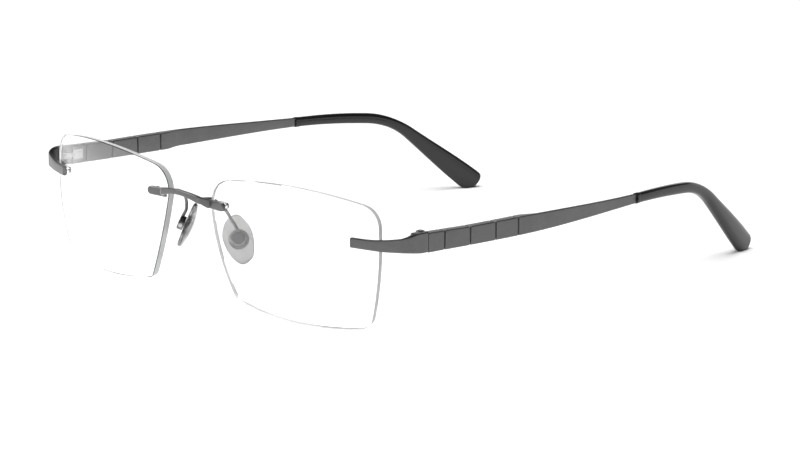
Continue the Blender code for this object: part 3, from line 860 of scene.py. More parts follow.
@dataclass(frozen=True)
class ClearMoulding:
    """Clear or smoky soft plastic: nose pads, post sleeves and washers, with an optional painted dark rim
    where the view grazes the surface.
    """

    name: str
    slot: str = "pad_silicone"
    colour: Colour = (0.27, 0.27, 0.265)
    lighter: Colour = (0.36, 0.36, 0.355)
    # Colour of the painted shade at the silhouette: a dark rim standing for the dim overhead that the curved
    # edge refracts.
    outline: Colour = (0.05, 0.05, 0.05)
    painted_rim_shade_share: float = 0.0
    roughness: float = 0.06
    rougher: float = 0.16
    ior: float = 1.41
    milky: float = 0.0

    def build(self) -> bpy.types.Material:
        """Makes the material.

        Returns:
            The material.
        """
        bench = Bench(self.name)
        tones = {"Colour": (*self.colour, 1.0), "Lighter": (*self.lighter, 1.0), "Per Metre": 380.0}
        tone = bench.effect(Effect.CLOUDS, tones)
        grain = bench.effect(Effect.GRAIN, {"Per Metre": 3500.0, "Coarse Share": 0.15})
        dull = bench.board.between(grain.outputs["Value"], self.roughness, self.rougher)
        colour = tone.outputs["Colour"]
        # Painted shade: the base colour darkens where the view grazes the surface, drawing a dark rim round
        # the silhouette.
        if self.painted_rim_shade_share:
            rim_shade_facing = bench.board.add("ShaderNodeLayerWeight", {"Blend": 0.55}).outputs["Facing"]
            edge = bench.board.sum("POWER", rim_shade_facing, 2.0)
            share = bench.board.sum("MULTIPLY", edge, self.painted_rim_shade_share)
            colour = bench.board.blend(share, colour, (*self.outline, 1.0))
        bench.drive({"Base Color": colour, "Roughness": dull, "IOR": self.ior})
        bench.drive({"Transmission Weight": 1.0 - self.milky, "Metallic": 0.0})
        bench.bump(grain.outputs["Height"], 0.000004)
        bench.let_lamps_through()
        return bench.material


@dataclass(frozen=True)
class GlossAcetate:
    """Black tips with a buffed gloss that thins to satin in use."""

    name: str = "black_acetate_gloss"
    slot: str = "black_acetate"
    colour: Colour = (0.004, 0.004, 0.0045)
    lighter: Colour = (0.009, 0.009, 0.0095)
    roughness: float = 0.08
    rougher: float = 0.15

    def build(self) -> bpy.types.Material:
        """Makes the material.

        Returns:
            The material.
        """
        bench = Bench(self.name)
        tone = bench.effect(
            Effect.CLOUDS, {"Colour": (*self.colour, 1.0), "Lighter": (*self.lighter, 1.0), "Per Metre": 90.0}
        )
        grain = bench.effect(Effect.GRAIN, {"Per Metre": 5000.0, "Coarse Share": 0.2})
        polish_and_highlight = bench.effect(Effect.POLISH, {"Amount": 0.06})
        dull = bench.board.between(tone.outputs["Share"], self.roughness, self.rougher)
        bench.drive({"Base Color": tone.outputs["Colour"], "Metallic": 0.0, "IOR": 1.5})
        bench.drive({"Roughness": bench.board.sum("SUBTRACT", dull, polish_and_highlight.outputs["Mask"])})
        bench.bump(grain.outputs["Height"], 0.0000025)
        return bench.material


@dataclass(frozen=True)
class PaperSweep:
    """The pale sheet that the eyeglasses stand on."""

    name: str = "paper_sweep"
    colour: Colour = (0.93, 0.93, 0.93)
    lighter: Colour = (0.95, 0.95, 0.95)

    def build(self) -> bpy.types.Material:
        """Makes the material.

        Returns:
            The material.
        """
        bench = Bench(self.name)
        tone = bench.effect(
            Effect.CLOUDS, {"Colour": (*self.colour, 1.0), "Lighter": (*self.lighter, 1.0), "Per Metre": 4.0}
        )
        bench.drive({"Base Color": tone.outputs["Colour"], "Roughness": 0.9, "Specular IOR Level": 0.0})
        return bench.material


# ---------------------------------------------------------------- putting pieces on the frame


@dataclass
class Assembly:
    """Where pieces go: the datum, the finishes made so far, and the pieces placed."""

    datum: Vector
    made: dict[str, bpy.types.Material] = field(default_factory=dict)
    count: int = 0

    @classmethod
    def on_frame(cls, hinge: Vector) -> "Assembly":
        """Finds the datum from the left hinge's screw.

        Args:
            hinge: The hinge's axis in datum millimetres.

        Returns:
            An assembly with nothing in it.
        """
        low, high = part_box("hinge_screw_left")
        middle = (low + high) / 2
        return cls(Vector((middle.x - hinge.x * MM, middle.y - hinge.y * MM, 0.0)))

    def material(self, finish: object) -> bpy.types.Material:
        """A finish's material, made once."""
        if finish.name not in self.made:
            self.made[finish.name] = finish.build()
        return self.made[finish.name]

    def place(
        self,
        name: str,
        solid: Solid,
        finishes: Sequence[object],
        body: str,
        nodes: Sequence[str] = (),
        crease: float = 35.0,
    ) -> bpy.types.Object:
        """Turns a solid in datum millimetres into a dressed piece that rides on a body.

        Args:
            name: The piece's name.
            solid: Its shape, which is used up.
            finishes: Its finishes, in the order of the mesh's material numbers.
            body: The CAD body that it moves with.
            nodes: CAD nodes that it stands for.
            crease: Faces that meet at more than this angle in degrees show an edge.

        Returns:
            The piece.
        """
        mesh = solid.mesh
        mesh.transform(Matrix.Translation(self.datum) @ Matrix.Scale(MM, 4))
        bmesh.ops.remove_doubles(mesh, verts=mesh.verts, dist=1e-7)
        self._mark_edges(mesh)
        data = bpy.data.meshes.new(name)
        mesh.to_mesh(data)
        mesh.free()
        data.shade_smooth()
        data.set_sharp_from_angle(angle=math.radians(crease))
        for finish in finishes:
            data.materials.append(self.material(finish))
        piece = bpy.data.objects.new(name, data)
        bpy.context.scene.collection.objects.link(piece)
        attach(piece, body)
        if nodes:
            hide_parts(*nodes)
        self.count += 1
        LOG.info("%s: %d faces, rides on %s, stands for %s", name, len(data.polygons), body, list(nodes))
        return piece

    @staticmethod
    def _mark_edges(mesh: bmesh.types.BMesh) -> None:
        """Stores how sharply the surface turns at each vertex, for the edge polish and the painted edge
        highlight.

        Args:
            mesh: The mesh in its final shape.
        """
        layer = mesh.verts.layers.float.new("edge")
        sharp = math.radians(22.0)
        for vertex in mesh.verts:
            angles = [e.calc_face_angle_signed(0.0) for e in vertex.link_edges if len(e.link_faces) == 2]
            vertex[layer] = min(max([0.0, *angles]) / sharp, 1.0)

    def pair(
        self,
        name: str,
        solid: Solid,
        finishes: Sequence[object],
        bodies: dict[Side, str],
        node: str,
        crease: float = 35.0,
    ) -> None:
        """Places a left piece and its right twin.

        Args:
            name: The piece's name without its side.
            solid: The left shape.
            finishes: The finishes of both.
            bodies: The body that each side rides on.
            node: The CAD node that they stand for, without its side.
            crease: Faces that meet at more than this angle in degrees show an edge.
        """
        for side, body in bodies.items():
            twin = solid.twin(side)
            self.place(f"{name}_{side.word}", twin, finishes, body, [f"{node}_{side.word}"], crease)
        solid.mesh.free()

    def dress(self, nodes: Iterable[str], finish: object) -> None:
        """Gives CAD nodes that stay their material.

        Args:
            nodes: The nodes' names.
            finish: Their finish.
        """
        for name in nodes:
            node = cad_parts[name]
            node.data.materials.clear()
            node.data.materials.append(self.material(finish))
            node.data.shade_smooth()
            node.data.set_sharp_from_angle(angle=math.radians(35.0))
            LOG.info("%s: CAD node kept, finished in %s", name, finish.name)


FRONT = {Side.LEFT: "front", Side.RIGHT: "front"}
TEMPLES = {Side.LEFT: "temple_left", Side.RIGHT: "temple_right"}
PADS = {Side.LEFT: "nose_pad_left", Side.RIGHT: "nose_pad_right"}


# ---------------------------------------------------------------- lenses


@dataclass
class LensPair:
    """The two lenses: four arcs and four corners, cut from a shallow spherical shell."""

    centre: Vector = field(default_factory=lambda: Vector((36.0, 1.4, 17.18)))
    wrap: float = math.radians(7.6)
    tilt: float = math.radians(2.7)
    curve: float = 108.0
    thickness: float = 2.1
    hole_radius: float = 0.77
    safety_bevel: float = 0.16
    corners: tuple[float, ...] = (6.8, 2.6, 4.1, 5.8)
    sides: tuple[tuple[float, float, float], ...] = (
        (math.radians(90.2), 17.27, 119.5),
        (math.radians(207.6), 23.86, 63.7),
        (math.radians(267.3), 17.16, 118.6),
        (math.radians(-9.35), 27.04, 61.9),
    )
    post_spacing: float = 2.9
    face: LensGlass = LensGlass()
    rim: LensGlass = LensGlass("ground_lens_rim", colour=(0.66, 0.665, 0.665), rim=True)

    def placing(self) -> Matrix:
        """The left lens's own frame (temporal, back, up) in the datum."""
        turn = Matrix.Rotation(self.wrap, 4, "Z") @ Matrix.Rotation(self.tilt, 4, "X")
        return Matrix.Translation(self.centre) @ turn

    def point(self, u: float, v: float, depth: float) -> Vector:
        """A point of the left lens in its own frame.

        Args:
            u: Distance towards the temple.
            v: Distance up.
            depth: Distance under the front surface.

        Returns:
            The point.
        """
        inward = Vector((-u / self.curve, 1.0, -v / self.curve)).normalized()
        sag = (u * u + v * v) / (2 * self.curve)
        return Vector((u, sag, v)) + inward * depth

    def front_point(self, x: float, z: float, offset: float = 0.0) -> tuple[Vector, Vector]:
        """A point on the left lens's front surface.

        Args:
            x: Its place across the datum.
            z: Its height.
            offset: How far it is moved out of the surface.

        Returns:
            The point, and the level direction out of the lens there.
        """
        u, v = x - self.centre.x, z - self.centre.z
        for _ in range(6):
            found = self.placing() @ self.point(u, v, 0.0)
            u += x - found.x
            v += z - found.z
        out = Vector((math.tan(self.wrap) + u / self.curve, -1.0, 0.0)).normalized()
        return found + out * offset, out

    def outline(self, side_steps: int = 26, corner_steps: int = 14) -> list[Vector]:
        """Points round the lens: four long arcs joined by four corner arcs.

        Args:
            side_steps: Steps along each long arc.
            corner_steps: Steps round each corner.

        Returns:
            Flat points as (towards the temple, up).
        """
        facings = [Vector((math.cos(side[0]), math.sin(side[0]))) for side in self.sides]
        centres = [way * (side[1] - side[2]) for way, side in zip(facings, self.sides)]
        corners = []
        for i, corner in enumerate(self.corners):
            j = (i + 1) % 4
            reach_i, reach_j = self.sides[i][2] - corner, self.sides[j][2] - corner
            gap = centres[j] - centres[i]
            along = (reach_i**2 - reach_j**2 + gap.length_squared) / (2 * gap.length)
            across = math.sqrt(reach_i**2 - along**2)
            ahead = gap.normalized()
            beside = Vector((-ahead.y, ahead.x))
            options = [centres[i] + ahead * along + beside * across * way for way in (1, -1)]
            corners.append(max(options, key=facings[i].dot))
        points = []
        for i in range(4):
            start, end = corners[i - 1] - centres[i], corners[i] - centres[i]
            leaving = corners[i] - centres[(i + 1) % 4]
            points += self._arc(centres[i], self.sides[i][2], start, end, side_steps)
            points += self._arc(corners[i], self.corners[i], end, leaving, corner_steps)
        return points

    @staticmethod
    def _arc(centre: Vector, radius: float, start: Vector, end: Vector, steps: int) -> list[Vector]:
        """Points on an arc between two directions, without its last point.

        Args:
            centre: The arc's centre.
            radius: Its radius.
            start: Direction of its first point.
            end: Direction of its last point.
            steps: How many points.

        Returns:
            The points.
        """
        first = math.atan2(start.y, start.x)
        turn = (math.atan2(end.y, end.x) - first) % math.tau
        angles = [first + turn * i / steps for i in range(steps)]
        return [centre + Vector((math.cos(a), math.sin(a))) * radius for a in angles]

    def shape(self, drills: Sequence[tuple[Vector, Vector]]) -> Solid:
        """The left lens with its bevelled rim and drilled holes.

        Args:
            drills: Where posts meet the front, with the direction out of the lens.

        Returns:
            The solid, whose rim has material number 1.
        """
        mesh = bmesh.new()
        outline = self.outline()
        inset = self.safety_bevel
        rings = []
        inner = [1.0 - (k / 9) ** 1.4 for k in range(9)]
        back = self.thickness
        rim_depths = spread(inset, back - inset, 6)
        levels = [(share, 0.0, inset) for share in reversed(inner)]
        levels += [(1.0, depth, 0.0) for depth in rim_depths]
        levels += [(share, back, inset) for share in inner]
        for share, depth, shrink in levels:
            ring = []
            for point in outline:
                drawn = point * share * (1.0 - shrink / point.length)
                ring.append(mesh.verts.new(self.point(drawn.x, drawn.y, depth)))
            rings.append(ring)
        front_middle = mesh.verts.new(self.point(0.0, 0.0, 0.0))
        back_middle = mesh.verts.new(self.point(0.0, 0.0, back))
        for near, far in zip([[front_middle], *rings], [*rings, [back_middle]]):
            Solid.join_loops(mesh, near, far)
        first, last = len(inner), len(inner) + len(rim_depths) - 1
        rim_vertices = {vertex for ring in rings[first : last + 1] for vertex in ring}
        for flat in mesh.faces:
            flat.material_index = int(all(vertex in rim_vertices for vertex in flat.verts))
        bmesh.ops.recalc_face_normals(mesh, faces=mesh.faces)
        mesh.transform(self.placing())
        solid = Solid(mesh)
        tools = []
        for start, out in drills:
            ends = (start + out * 1.0, start - out * (back + 1.0))
            tools.append(Solid.rod(ends[0], ends[1], self.hole_radius, segments=40))
        return solid.less(*tools)

    def posts(self, first: float, second: float, level: float) -> list[tuple[Vector, Vector]]:
        """Where two posts meet the left lens's front.

        Args:
            first: The first post's place across.
            second: The second post's place across.
            level: Their height.

        Returns:
            Each place, with the direction out of the lens between them.
        """
        middle = self.front_point((first + second) / 2, level)[1]
        return [(self.front_point(x, level)[0], middle) for x in (first, second)]

    def build(self, assembly: Assembly, drills: Sequence[tuple[Vector, Vector]]) -> None:
        """Places both lenses.

        Args:
            assembly: Where they go.
            drills: Where the left lens's posts are.
        """
        assembly.pair("lens_blank", self.shape(drills), (self.face, self.rim), FRONT, "lens")


# ---------------------------------------------------------------- posts and sleeves


@dataclass
class PostMount:
    """A fitting's two posts through a lens, in a clear double sleeve with a head behind."""

    lenses: LensPair
    places: list[tuple[Vector, Vector]]
    gap: float = 0.08
    post_radius: float = 0.45
    post_length: float = 2.05
    rooted: float = 0.5
    head_thickness: float = 0.6
    sleeve_finish: ClearMoulding = ClearMoulding(
        "clear_sleeve", colour=(0.93, 0.93, 0.93), lighter=(0.97, 0.97, 0.97), ior=1.46, roughness=0.03
    )

    def posts(self) -> list[Solid]:
        """The posts, from inside the fitting to the back of the lens.

        Returns:
            One rounded rod for each.
        """
        rods = []
        for start, out in self.places:
            ends = (start + out * (self.gap + self.rooted), start - out * self.post_length)
            rods.append(Solid.rod(ends[0], ends[1], self.post_radius, 0.1))
        return rods

    def sleeve(self) -> Solid:
        """The double sleeve: two tubes through the lens, and the pillow-shaped head.

        Returns:
            The solid.
        """
        (first, out), (second, _) = self.places
        along = (second - first).normalized()
        back = -out
        middle = (first + second) / 2
        start = self.lenses.thickness + 0.08
        spacing = self.lenses.post_spacing
        loops = []
        for depth in (0.0, 0.08, 0.3, 0.42, 0.51, 0.57, self.head_thickness):
            drawn = round_off(self.head_thickness - depth, 0.3) + round_off(depth, 0.08)
            shape = rounded_box(spacing + 1.4 - 2 * drawn, 1.5 - 2 * drawn, 0.7 - drawn, 8)
            loops.append(placed(shape, middle + back * (start + depth), along, UP))
        outer = self.lenses.hole_radius - 0.05
        tubes = []
        bores = []
        for post in (first, second):
            tubes.append(Solid.rod(post + back * 0.02, post + back * (start + 0.2), outer, segments=40))
            end = post + back * (self.post_length + 0.08)
            bores.append(Solid.rod(post - back * 1.0, end, self.post_radius + 0.05))
        return Solid.loft(loops).joined(*tubes).less(*bores)

    def build(self, assembly: Assembly, name: str, node: str) -> None:
        """Places the sleeves on both sides.

        Args:
            assembly: Where they go.
            name: The pieces' name.
            node: The CAD node that they stand for.
        """
        assembly.pair(name, self.sleeve(), (self.sleeve_finish,), FRONT, node)


# ---------------------------------------------------------------- bridge


@dataclass
class Bridge:
    """A flat bar that arches over the nose, between two lugs on the lenses."""

    lenses: LensPair
    thickness: float = 1.1
    gap: float = 0.08
    arch_top: tuple[float, float, float] = (28.49, 1.38, 0.29)
    arch_bottom: tuple[float, float, float] = (27.14, 2.52, 0.61)
    forward: float = -2.26
    forward_bow: float = 0.78
    blend_start: float = 7.0
    notch_span: tuple[float, float] = (7.3, 8.6)
    lug_inner: float = 6.5
    lug_start: float = 9.2
    lug_end: float = 14.8
    lug_top: float = 26.98
    lug_bottom: float = 24.86
    lug_corner: float = 1.0
    edge_radius: float = 0.28
    post_place: float = 13.3
    finish: SatinPlating = SatinPlating()

    def mount(self) -> PostMount:
        """The left lug's posts and sleeve."""
        level = (self.lug_top + self.lug_bottom) / 2
        inner = self.post_place - self.lenses.post_spacing
        return PostMount(self.lenses, self.lenses.posts(self.post_place, inner, level))

    def station(self, x: float) -> tuple[Vector, float]:
        """The bar at one place across.

        Args:
            x: The place, 0 in the middle.

        Returns:
            The middle of the bar there, and its height.
        """
        away = abs(x)
        share = (away / 10) ** 2
        lug = smooth(away, self.blend_start, self.lug_start)
        notch = smooth(away, *self.notch_span)
        top_middle, top_fall, top_curl = self.arch_top
        low_middle, low_fall, low_curl = self.arch_bottom
        top = (top_middle - top_fall * share + top_curl * share**2) * (1 - lug) + self.lug_top * lug
        arch = low_middle - low_fall * share + low_curl * share**2
        bottom = arch * (1 - notch) + self.lug_bottom * notch
        level = (self.lug_top + self.lug_bottom) / 2
        offset = self.gap + self.thickness / 2
        on_lug = self.lenses.front_point(max(away, self.lug_inner), level, offset)[0].y
        y = (self.forward + self.forward_bow * share) * (1 - lug) + on_lug * lug
        height = top - bottom - 2 * round_off(self.lug_end - away, self.lug_corner)
        return Vector((x, y, (top + bottom) / 2)), height

    def shape(self) -> Solid:
        """The bar with its lugs and posts.

        Returns:
            The solid.
        """
        bend = [self.lug_corner * (1 - math.cos(math.radians(a))) for a in (0, 12, 24, 36, 50, 64, 78, 90)]
        right = [-self.lug_end + step for step in bend] + spread(-13.6, -0.6, 54)
        loops = []
        for x in right + [0.0] + [-x for x in reversed(right)]:
            centre, height = self.station(x)
            ahead = self.station(x + 0.05)[0] - self.station(x - 0.05)[0]
            side = Vector((ahead.y, -ahead.x, 0.0)).normalized()
            drawn = round_off(self.lug_end - abs(x), 0.2)
            edge = min(self.edge_radius - drawn, height / 2.2)
            shape = rounded_box(self.thickness - 2 * drawn, height, edge, 6)
            loops.append(placed(shape, centre, side, UP))
        flip = Vector((-1, 1, 1))
        mount = self.mount()
        twins = [(place * flip, out * flip) for place, out in mount.places]
        return Solid.loft(loops).joined(*mount.posts(), *PostMount(self.lenses, twins).posts())

    def build(self, assembly: Assembly) -> None:
        """Places the bridge and its sleeves.

        Args:
            assembly: Where they go.
        """
        assembly.place("bridge_bar", self.shape(), (self.finish,), "front", ["bridge"])
        self.mount().build(assembly, "bridge_plug", "bridge_sleeve")


# ---------------------------------------------------------------- hinge and endpiece


@dataclass
class Hinge:
    """The barrel hinge: two outer knuckles, washers, the temple's leaf and a screw."""

    axis: Vector = field(default_factory=lambda: Vector((68.6, 16.6, 0.0)))
    knuckle_radius: float = 1.15
    knuckle_bottom: float = 22.0
    knuckle_top: float = 26.66
    leaf_bottom: float = 23.46
    leaf_top: float = 24.62
    washer: float = 0.13
    gap: float = 0.02
    bore: float = 0.5
    steel: TurnedSteel = TurnedSteel()
    nylon: ClearMoulding = ClearMoulding(
        "washer_nylon",
        colour=(0.80, 0.80, 0.78),
        lighter=(0.88, 0.88, 0.86),
        milky=0.6,
        roughness=0.3,
        rougher=0.45,
    )

    def at(self, z: float) -> Vector:
        """A point on the hinge's axis."""
        return Vector((self.axis.x, self.axis.y, z))

    def barrel(self) -> Solid:
        """The outer knuckles as one bar, before the pocket is cut."""
        low, high = self.at(self.knuckle_bottom), self.at(self.knuckle_top)
        return Solid.rod(low, high, self.knuckle_radius, 0.12, 48)

    def pocket(self) -> Solid:
        """What is cut out of the barrel for the temple's knuckle."""
        reach = 2 * self.gap + self.washer
        low, high = self.at(self.leaf_bottom - reach), self.at(self.leaf_top + reach)
        return Solid.rod(low, high, self.knuckle_radius + 0.15, segments=48)

    def hole(self) -> Solid:
        """The bore for the screw."""
        return Solid.rod(self.at(self.knuckle_bottom - 1), self.at(self.knuckle_top + 1), self.bore)

    def build(self, assembly: Assembly) -> None:
        """Dresses the hinge's CAD nodes, whose shapes stay.

        Args:
            assembly: Where they are.
        """
        sides = [side.word for side in Side]
        steel = [f"{part}_{side}" for part in ("hinge_screw", "hinge_leaf") for side in sides]
        nylon = [f"{part}_{side}" for part in ("lower_washer", "upper_washer") for side in sides]
        assembly.dress(steel, self.steel)
        assembly.dress(nylon, self.nylon)


@dataclass
class Endpiece:
    """A tab on the lens, a tight bend, and a side arm that swells up to the temple."""

    lenses: LensPair
    hinge: Hinge
    thickness: float = 1.1
    gap: float = 0.08
    tab_end: float = 56.0
    tab_level: float = 23.25
    tab_post: float = 57.1
    bend_start: float = 67.9
    bend_thickness: float = 1.75
    arm_thickness: float = 2.6
    arm_rise: float = 2.3
    rise_span: tuple[float, float] = (5.9, 14.2)
    tab_span: tuple[float, float] = (54.0, 66.0)
    tab_bottom: float = 22.15
    bottom_fall: float = 0.27
    tab_top: float = 24.66
    top_fall: float = 0.34
    tuck: float = 0.2
    tuck_span: tuple[float, float] = (8.0, 10.5)
    sag: float = 0.45
    sag_span: tuple[float, float] = (10.8, 15.5)
    tab_depth: float = 8.0
    tab_corner: float = 0.4
    tab_edge: float = 0.15
    side_face: float = 71.1
    seam: float = 17.0
    edge_radius: float = 0.34
    finish: SatinPlating = SatinPlating()

    def mount(self) -> PostMount:
        """The tab's posts and sleeve."""
        outer = self.tab_post + self.lenses.post_spacing
        return PostMount(self.lenses, self.lenses.posts(self.tab_post, outer, self.tab_level))

    def stations(self) -> list[tuple[Vector, Vector, float]]:
        """The endpiece from the tab's end to the seam.

        Returns:
            Place, level direction out and thickness, for each station.
        """
        offset = self.gap + self.thickness / 2
        end = [self.tab_end + 0.4 * (1 - math.cos(math.radians(a))) for a in (0, 14, 28, 42, 56, 73, 90)]
        found = []
        for x in end + spread(self.tab_end + 0.9, self.bend_start, 22):
            place, out = self.lenses.front_point(x, self.tab_level, offset)
            found.append((place, out, self.thickness))
        start, out, _ = found[-1]
        heading = math.atan2(out.x, -out.y)
        radius = (self.side_face - self.bend_thickness / 2 - start.x) / (1 - math.sin(heading))
        for turn in spread(heading, math.pi / 2, 25)[1:]:
            x = start.x + radius * (math.sin(turn) - math.sin(heading))
            y = start.y + radius * (math.cos(heading) - math.cos(turn))
            grow = (turn - heading) / (math.pi / 2 - heading)
            thickness = self.thickness + (self.bend_thickness - self.thickness) * grow
            found.append((Vector((x, y, 0)), Vector((math.sin(turn), -math.cos(turn), 0)), thickness))
        bend_end = found[-1][0].y
        for y in spread(bend_end, self.seam - 0.12, 25)[1:] + [self.seam - 0.05, self.seam]:
            grow = (self.arm_thickness - self.bend_thickness) * smooth(y, bend_end, 13.5)
            thickness = self.bend_thickness + grow
            found.append((Vector((self.side_face - thickness / 2, y, 0)), Vector((1, 0, 0)), thickness))
        return found

    def heights(self, place: Vector) -> tuple[float, float]:
        """The bottom and top of the endpiece where its middle is.

        Args:
            place: Its middle.

        Returns:
            Bottom and top.
        """
        along = smooth(place.x, *self.tab_span)
        dip = self.tuck * smooth(place.y, *self.tuck_span) - self.sag * smooth(place.y, *self.sag_span)
        bottom = self.tab_bottom - self.bottom_fall * along + dip
        return bottom, self.tab_top - self.top_fall * along + self.arm_rise * smooth(place.y, *self.rise_span)

    def shape(self) -> Solid:
        """The tab, bend and arm with the posts and the outer knuckles.

        Returns:
            The solid.
        """
        loops = []
        for place, out, thickness in self.stations():
            bottom, top = self.heights(place)
            on_tab = place.y < self.tab_depth
            drawn = round_off(place.x - self.tab_end, self.tab_corner) if on_tab else 0.0
            thin = round_off(place.x - self.tab_end, self.tab_edge) if on_tab else 0.0
            rim = round_off(self.seam - place.y, 0.1)
            centre = Vector((place.x, place.y, (bottom + top) / 2))
            width, height = thickness - 2 * (thin + rim), top - bottom - 2 * (drawn + rim)
            shape = rounded_box(width, height, self.edge_radius - thin - rim, 6)
            loops.append(placed(shape, centre, out, UP))
        solid = Solid.loft(loops).joined(self.hinge.barrel(), *self.mount().posts())
        return solid.less(self.hinge.pocket(), self.hinge.hole())

    def build(self, assembly: Assembly) -> None:
        """Places both endpieces and their sleeves.

        Args:
            assembly: Where they go.
        """
        assembly.pair("endpiece_body", self.shape(), (self.finish,), FRONT, "endpiece")
        self.mount().build(assembly, "endpiece_plug", "endpiece_sleeve")


# ---------------------------------------------------------------- temples


@dataclass
class Temple:
    """A sprung blade that bows inwards, with a collar and a bent tip over its core wire."""

    hinge: Hinge
    side_face: float = 71.1
    shoulder_span: tuple[float, float] = (17.0, 33.0)
    block_height: float = 4.6
    thinning_span: tuple[float, float] = (48.5, 54.5)
    taper: float = 2.3
    taper_span: tuple[float, float] = (46.0, 98.0)
    tip_height: float = 2.6
    tip_growth: float = 0.26
    growth_span: tuple[float, float] = (93.0, 112.0)
    tip_flare: float = 3.5
    flare_span: tuple[float, float] = (120.0, 145.0)
    tip_swell: float = 0.6
    swell_span: tuple[float, float] = (102.0, 120.0)
    tip_thickness: float = 2.1
    tip_fattening: float = 0.3
    fattening_span: tuple[float, float] = (92.0, 100.0)
    bow_start: float = 36.0
    bow_radius: float = 334.0
    start: float = 17.12
    relief_end: float = 18.15
    thick: float = 2.6
    relief: float = 1.5
    thin: float = 0.95
    level_start: float = 23.72
    shoulder: float = 0.2
    fall: float = 0.0041
    grooves: tuple[float, ...] = (22.3, 30.7, 39.1, 46.8)
    groove_width: float = 0.6
    groove_depth: float = 0.32
    tip_start: float = 91.6
    collar_length: float = 1.3
    first_bend: float = 94.0
    first_radius: float = 197.5
    first_angle: float = math.radians(5.72)
    second_radius: float = 24.0
    drop_angle: float = math.radians(39.4)
    tip_end: float = 146.1
    tip_heel: float = 2.9
    tip_crown: float = 1.0
    core_end: float = 121.0
    plating: SatinPlating = SatinPlating()
    acetate: GlossAcetate = GlossAcetate()

    def bow(self, y: float) -> tuple[float, Vector]:
        """The outer face of the temple.

        Args:
            y: The place along it.

        Returns:
            Where the face is across, and the level direction out of it.
        """
        past = max(y - self.bow_start, 0.0)
        out = Vector((1.0, past / self.bow_radius, 0.0)).normalized()
        return self.side_face - past**2 / (2 * self.bow_radius), out

    def level(self, y: float) -> float:
        """Height of the temple's middle line: straight, two arcs down, and straight again.

        Args:
            y: The place along it.

        Returns:
            The height.
        """
        straight = self.level_start - self.fall * (y - self.start) + self.shoulder_at(y)
        past = y - self.first_bend
        if past <= 0:
            return straight
        first_run = self.first_radius * math.sin(self.first_angle)
        if past <= first_run:
            return straight - self.first_radius + math.sqrt(self.first_radius**2 - past**2)
        drop = self.first_radius * (1 - math.cos(self.first_angle))
        past -= first_run
        second_run = self.second_radius * (math.sin(self.drop_angle) - math.sin(self.first_angle))
        if past <= second_run:
            sine = math.sin(self.first_angle) + past / self.second_radius
            fallen = math.cos(self.first_angle) - math.sqrt(1 - sine**2)
            return straight - drop - self.second_radius * fallen
        drop += self.second_radius * (math.cos(self.first_angle) - math.cos(self.drop_angle))
        return straight - drop - (past - second_run) * math.tan(self.drop_angle)

    def station(self, y: float, shape: FlatLoop, inset: float) -> Loop:
        """A flat shape round the temple's middle line.

        Args:
            y: The place along it.
            shape: The shape.
            inset: How far inside the outer face its middle lies.

        Returns:
            The shape's points.
        """
        face, out = self.bow(y)
        rise = self.level(y + 0.1) - self.level(y - 0.1)
        ahead = Vector((self.bow(y + 0.1)[0] - self.bow(y - 0.1)[0], 0.2, rise)).normalized()
        up = out.cross(ahead).normalized()
        centre = Vector((face, y, self.level(y))) - out * inset
        return placed(shape, centre, out, up if up.z > 0 else -up)

    def groove_cut(self, y: float) -> float:
        """How deep the grooves cut at one place.

        Args:
            y: The place along the blade.

        Returns:
            The depth, 0 between grooves.
        """
        half = self.groove_width / 2
        nearest = min(abs(y - groove) for groove in self.grooves)
        return self.groove_depth * (1.0 - smooth(nearest, half - 0.13, half + 0.03))

    def shoulder_at(self, y: float) -> float:
        """How much the block stands higher behind the hinge, at one place."""
        return self.shoulder * (1 - smooth(y, *self.shoulder_span))

    def blade_places(self) -> list[float]:
        """Places along the blade, close together at its end and at each groove.

        Returns:
            The places in order.
        """
        places = [self.start, self.start + 0.05, self.start + 0.14]
        places += [self.relief_end - 0.01, self.relief_end]
        half = self.groove_width / 2
        steps = (-0.16, -0.13, -0.09, -0.05, -0.01, 0.03, 0.1)
        for groove in self.grooves:
            lips = [groove - half - step for step in reversed(steps)]
            places += lips + [groove] + [groove + half + step for step in steps]
        places += spread(19.0, 47.6, 26)
        places += spread(48.0, 56.0, 17) + spread(58.0, self.tip_start + 0.3, 24)
        return sorted(set(places))

    def blade(self) -> Solid:
        """The grooved block, the thin shank, and the core wire inside the tip.

        Returns:
            The solid.
        """
        loops = []
        for y in self.blade_places():
            relief = self.relief if y < self.relief_end else 0.0
            thickness = self.thick - (self.thick - self.thin) * smooth(y, *self.thinning_span) - relief
            height = self.block_height + self.shoulder_at(y) - self.taper * smooth(y, *self.taper_span)
            drawn = self.groove_cut(y) + round_off(y - self.start, 0.1)
            corner = min(0.25, thickness / 2 - 0.1)
            shape = rounded_box(thickness - 2 * drawn, height - 2 * drawn, corner, 6)
            loops.append(self.station(y, shape, thickness / 2))
        core = rounded_box(0.7, 1.3, 0.2, 6)
        for y in [self.tip_start + 0.32] + spread(98.0, self.core_end, 8):
            loops.append(self.station(y, core, self.thin / 2))
        hinge = self.hinge
        low = (hinge.axis.x - 0.6, 18.0, hinge.leaf_bottom - 0.85)
        high = (hinge.axis.x + 1.15, 21.45, hinge.leaf_top + 0.65)
        return Solid.loft(loops).less(Solid.block(low, high))

    def tip_section(self, y: float, drawn: float = 0.0) -> Loop:
        """The tip's outline at one place: a full oval that flares towards the end.

        Args:
            y: The place along the tip.
            drawn: How far the outline is drawn in.

        Returns:
            Points round it.
        """
        height = self.tip_height + self.tip_growth * smooth(y, *self.growth_span)
        height += self.tip_flare * smooth(y, *self.flare_span)
        swell = self.tip_swell * smooth(y, *self.swell_span)
        thickness = self.tip_thickness + self.tip_fattening * smooth(y, *self.fattening_span) + swell
        back = max(self.tip_end - y, 0.0)
        above = height / 2 - round_off(back, self.tip_crown)
        below = height / 2 - round_off(back, self.tip_heel)
        shape = oval(thickness - 2 * drawn, above + below - 2 * drawn)
        raised = [(across, rise + (above - below) / 2) for across, rise in shape]
        return self.station(y, raised, (self.thin + swell) / 2)

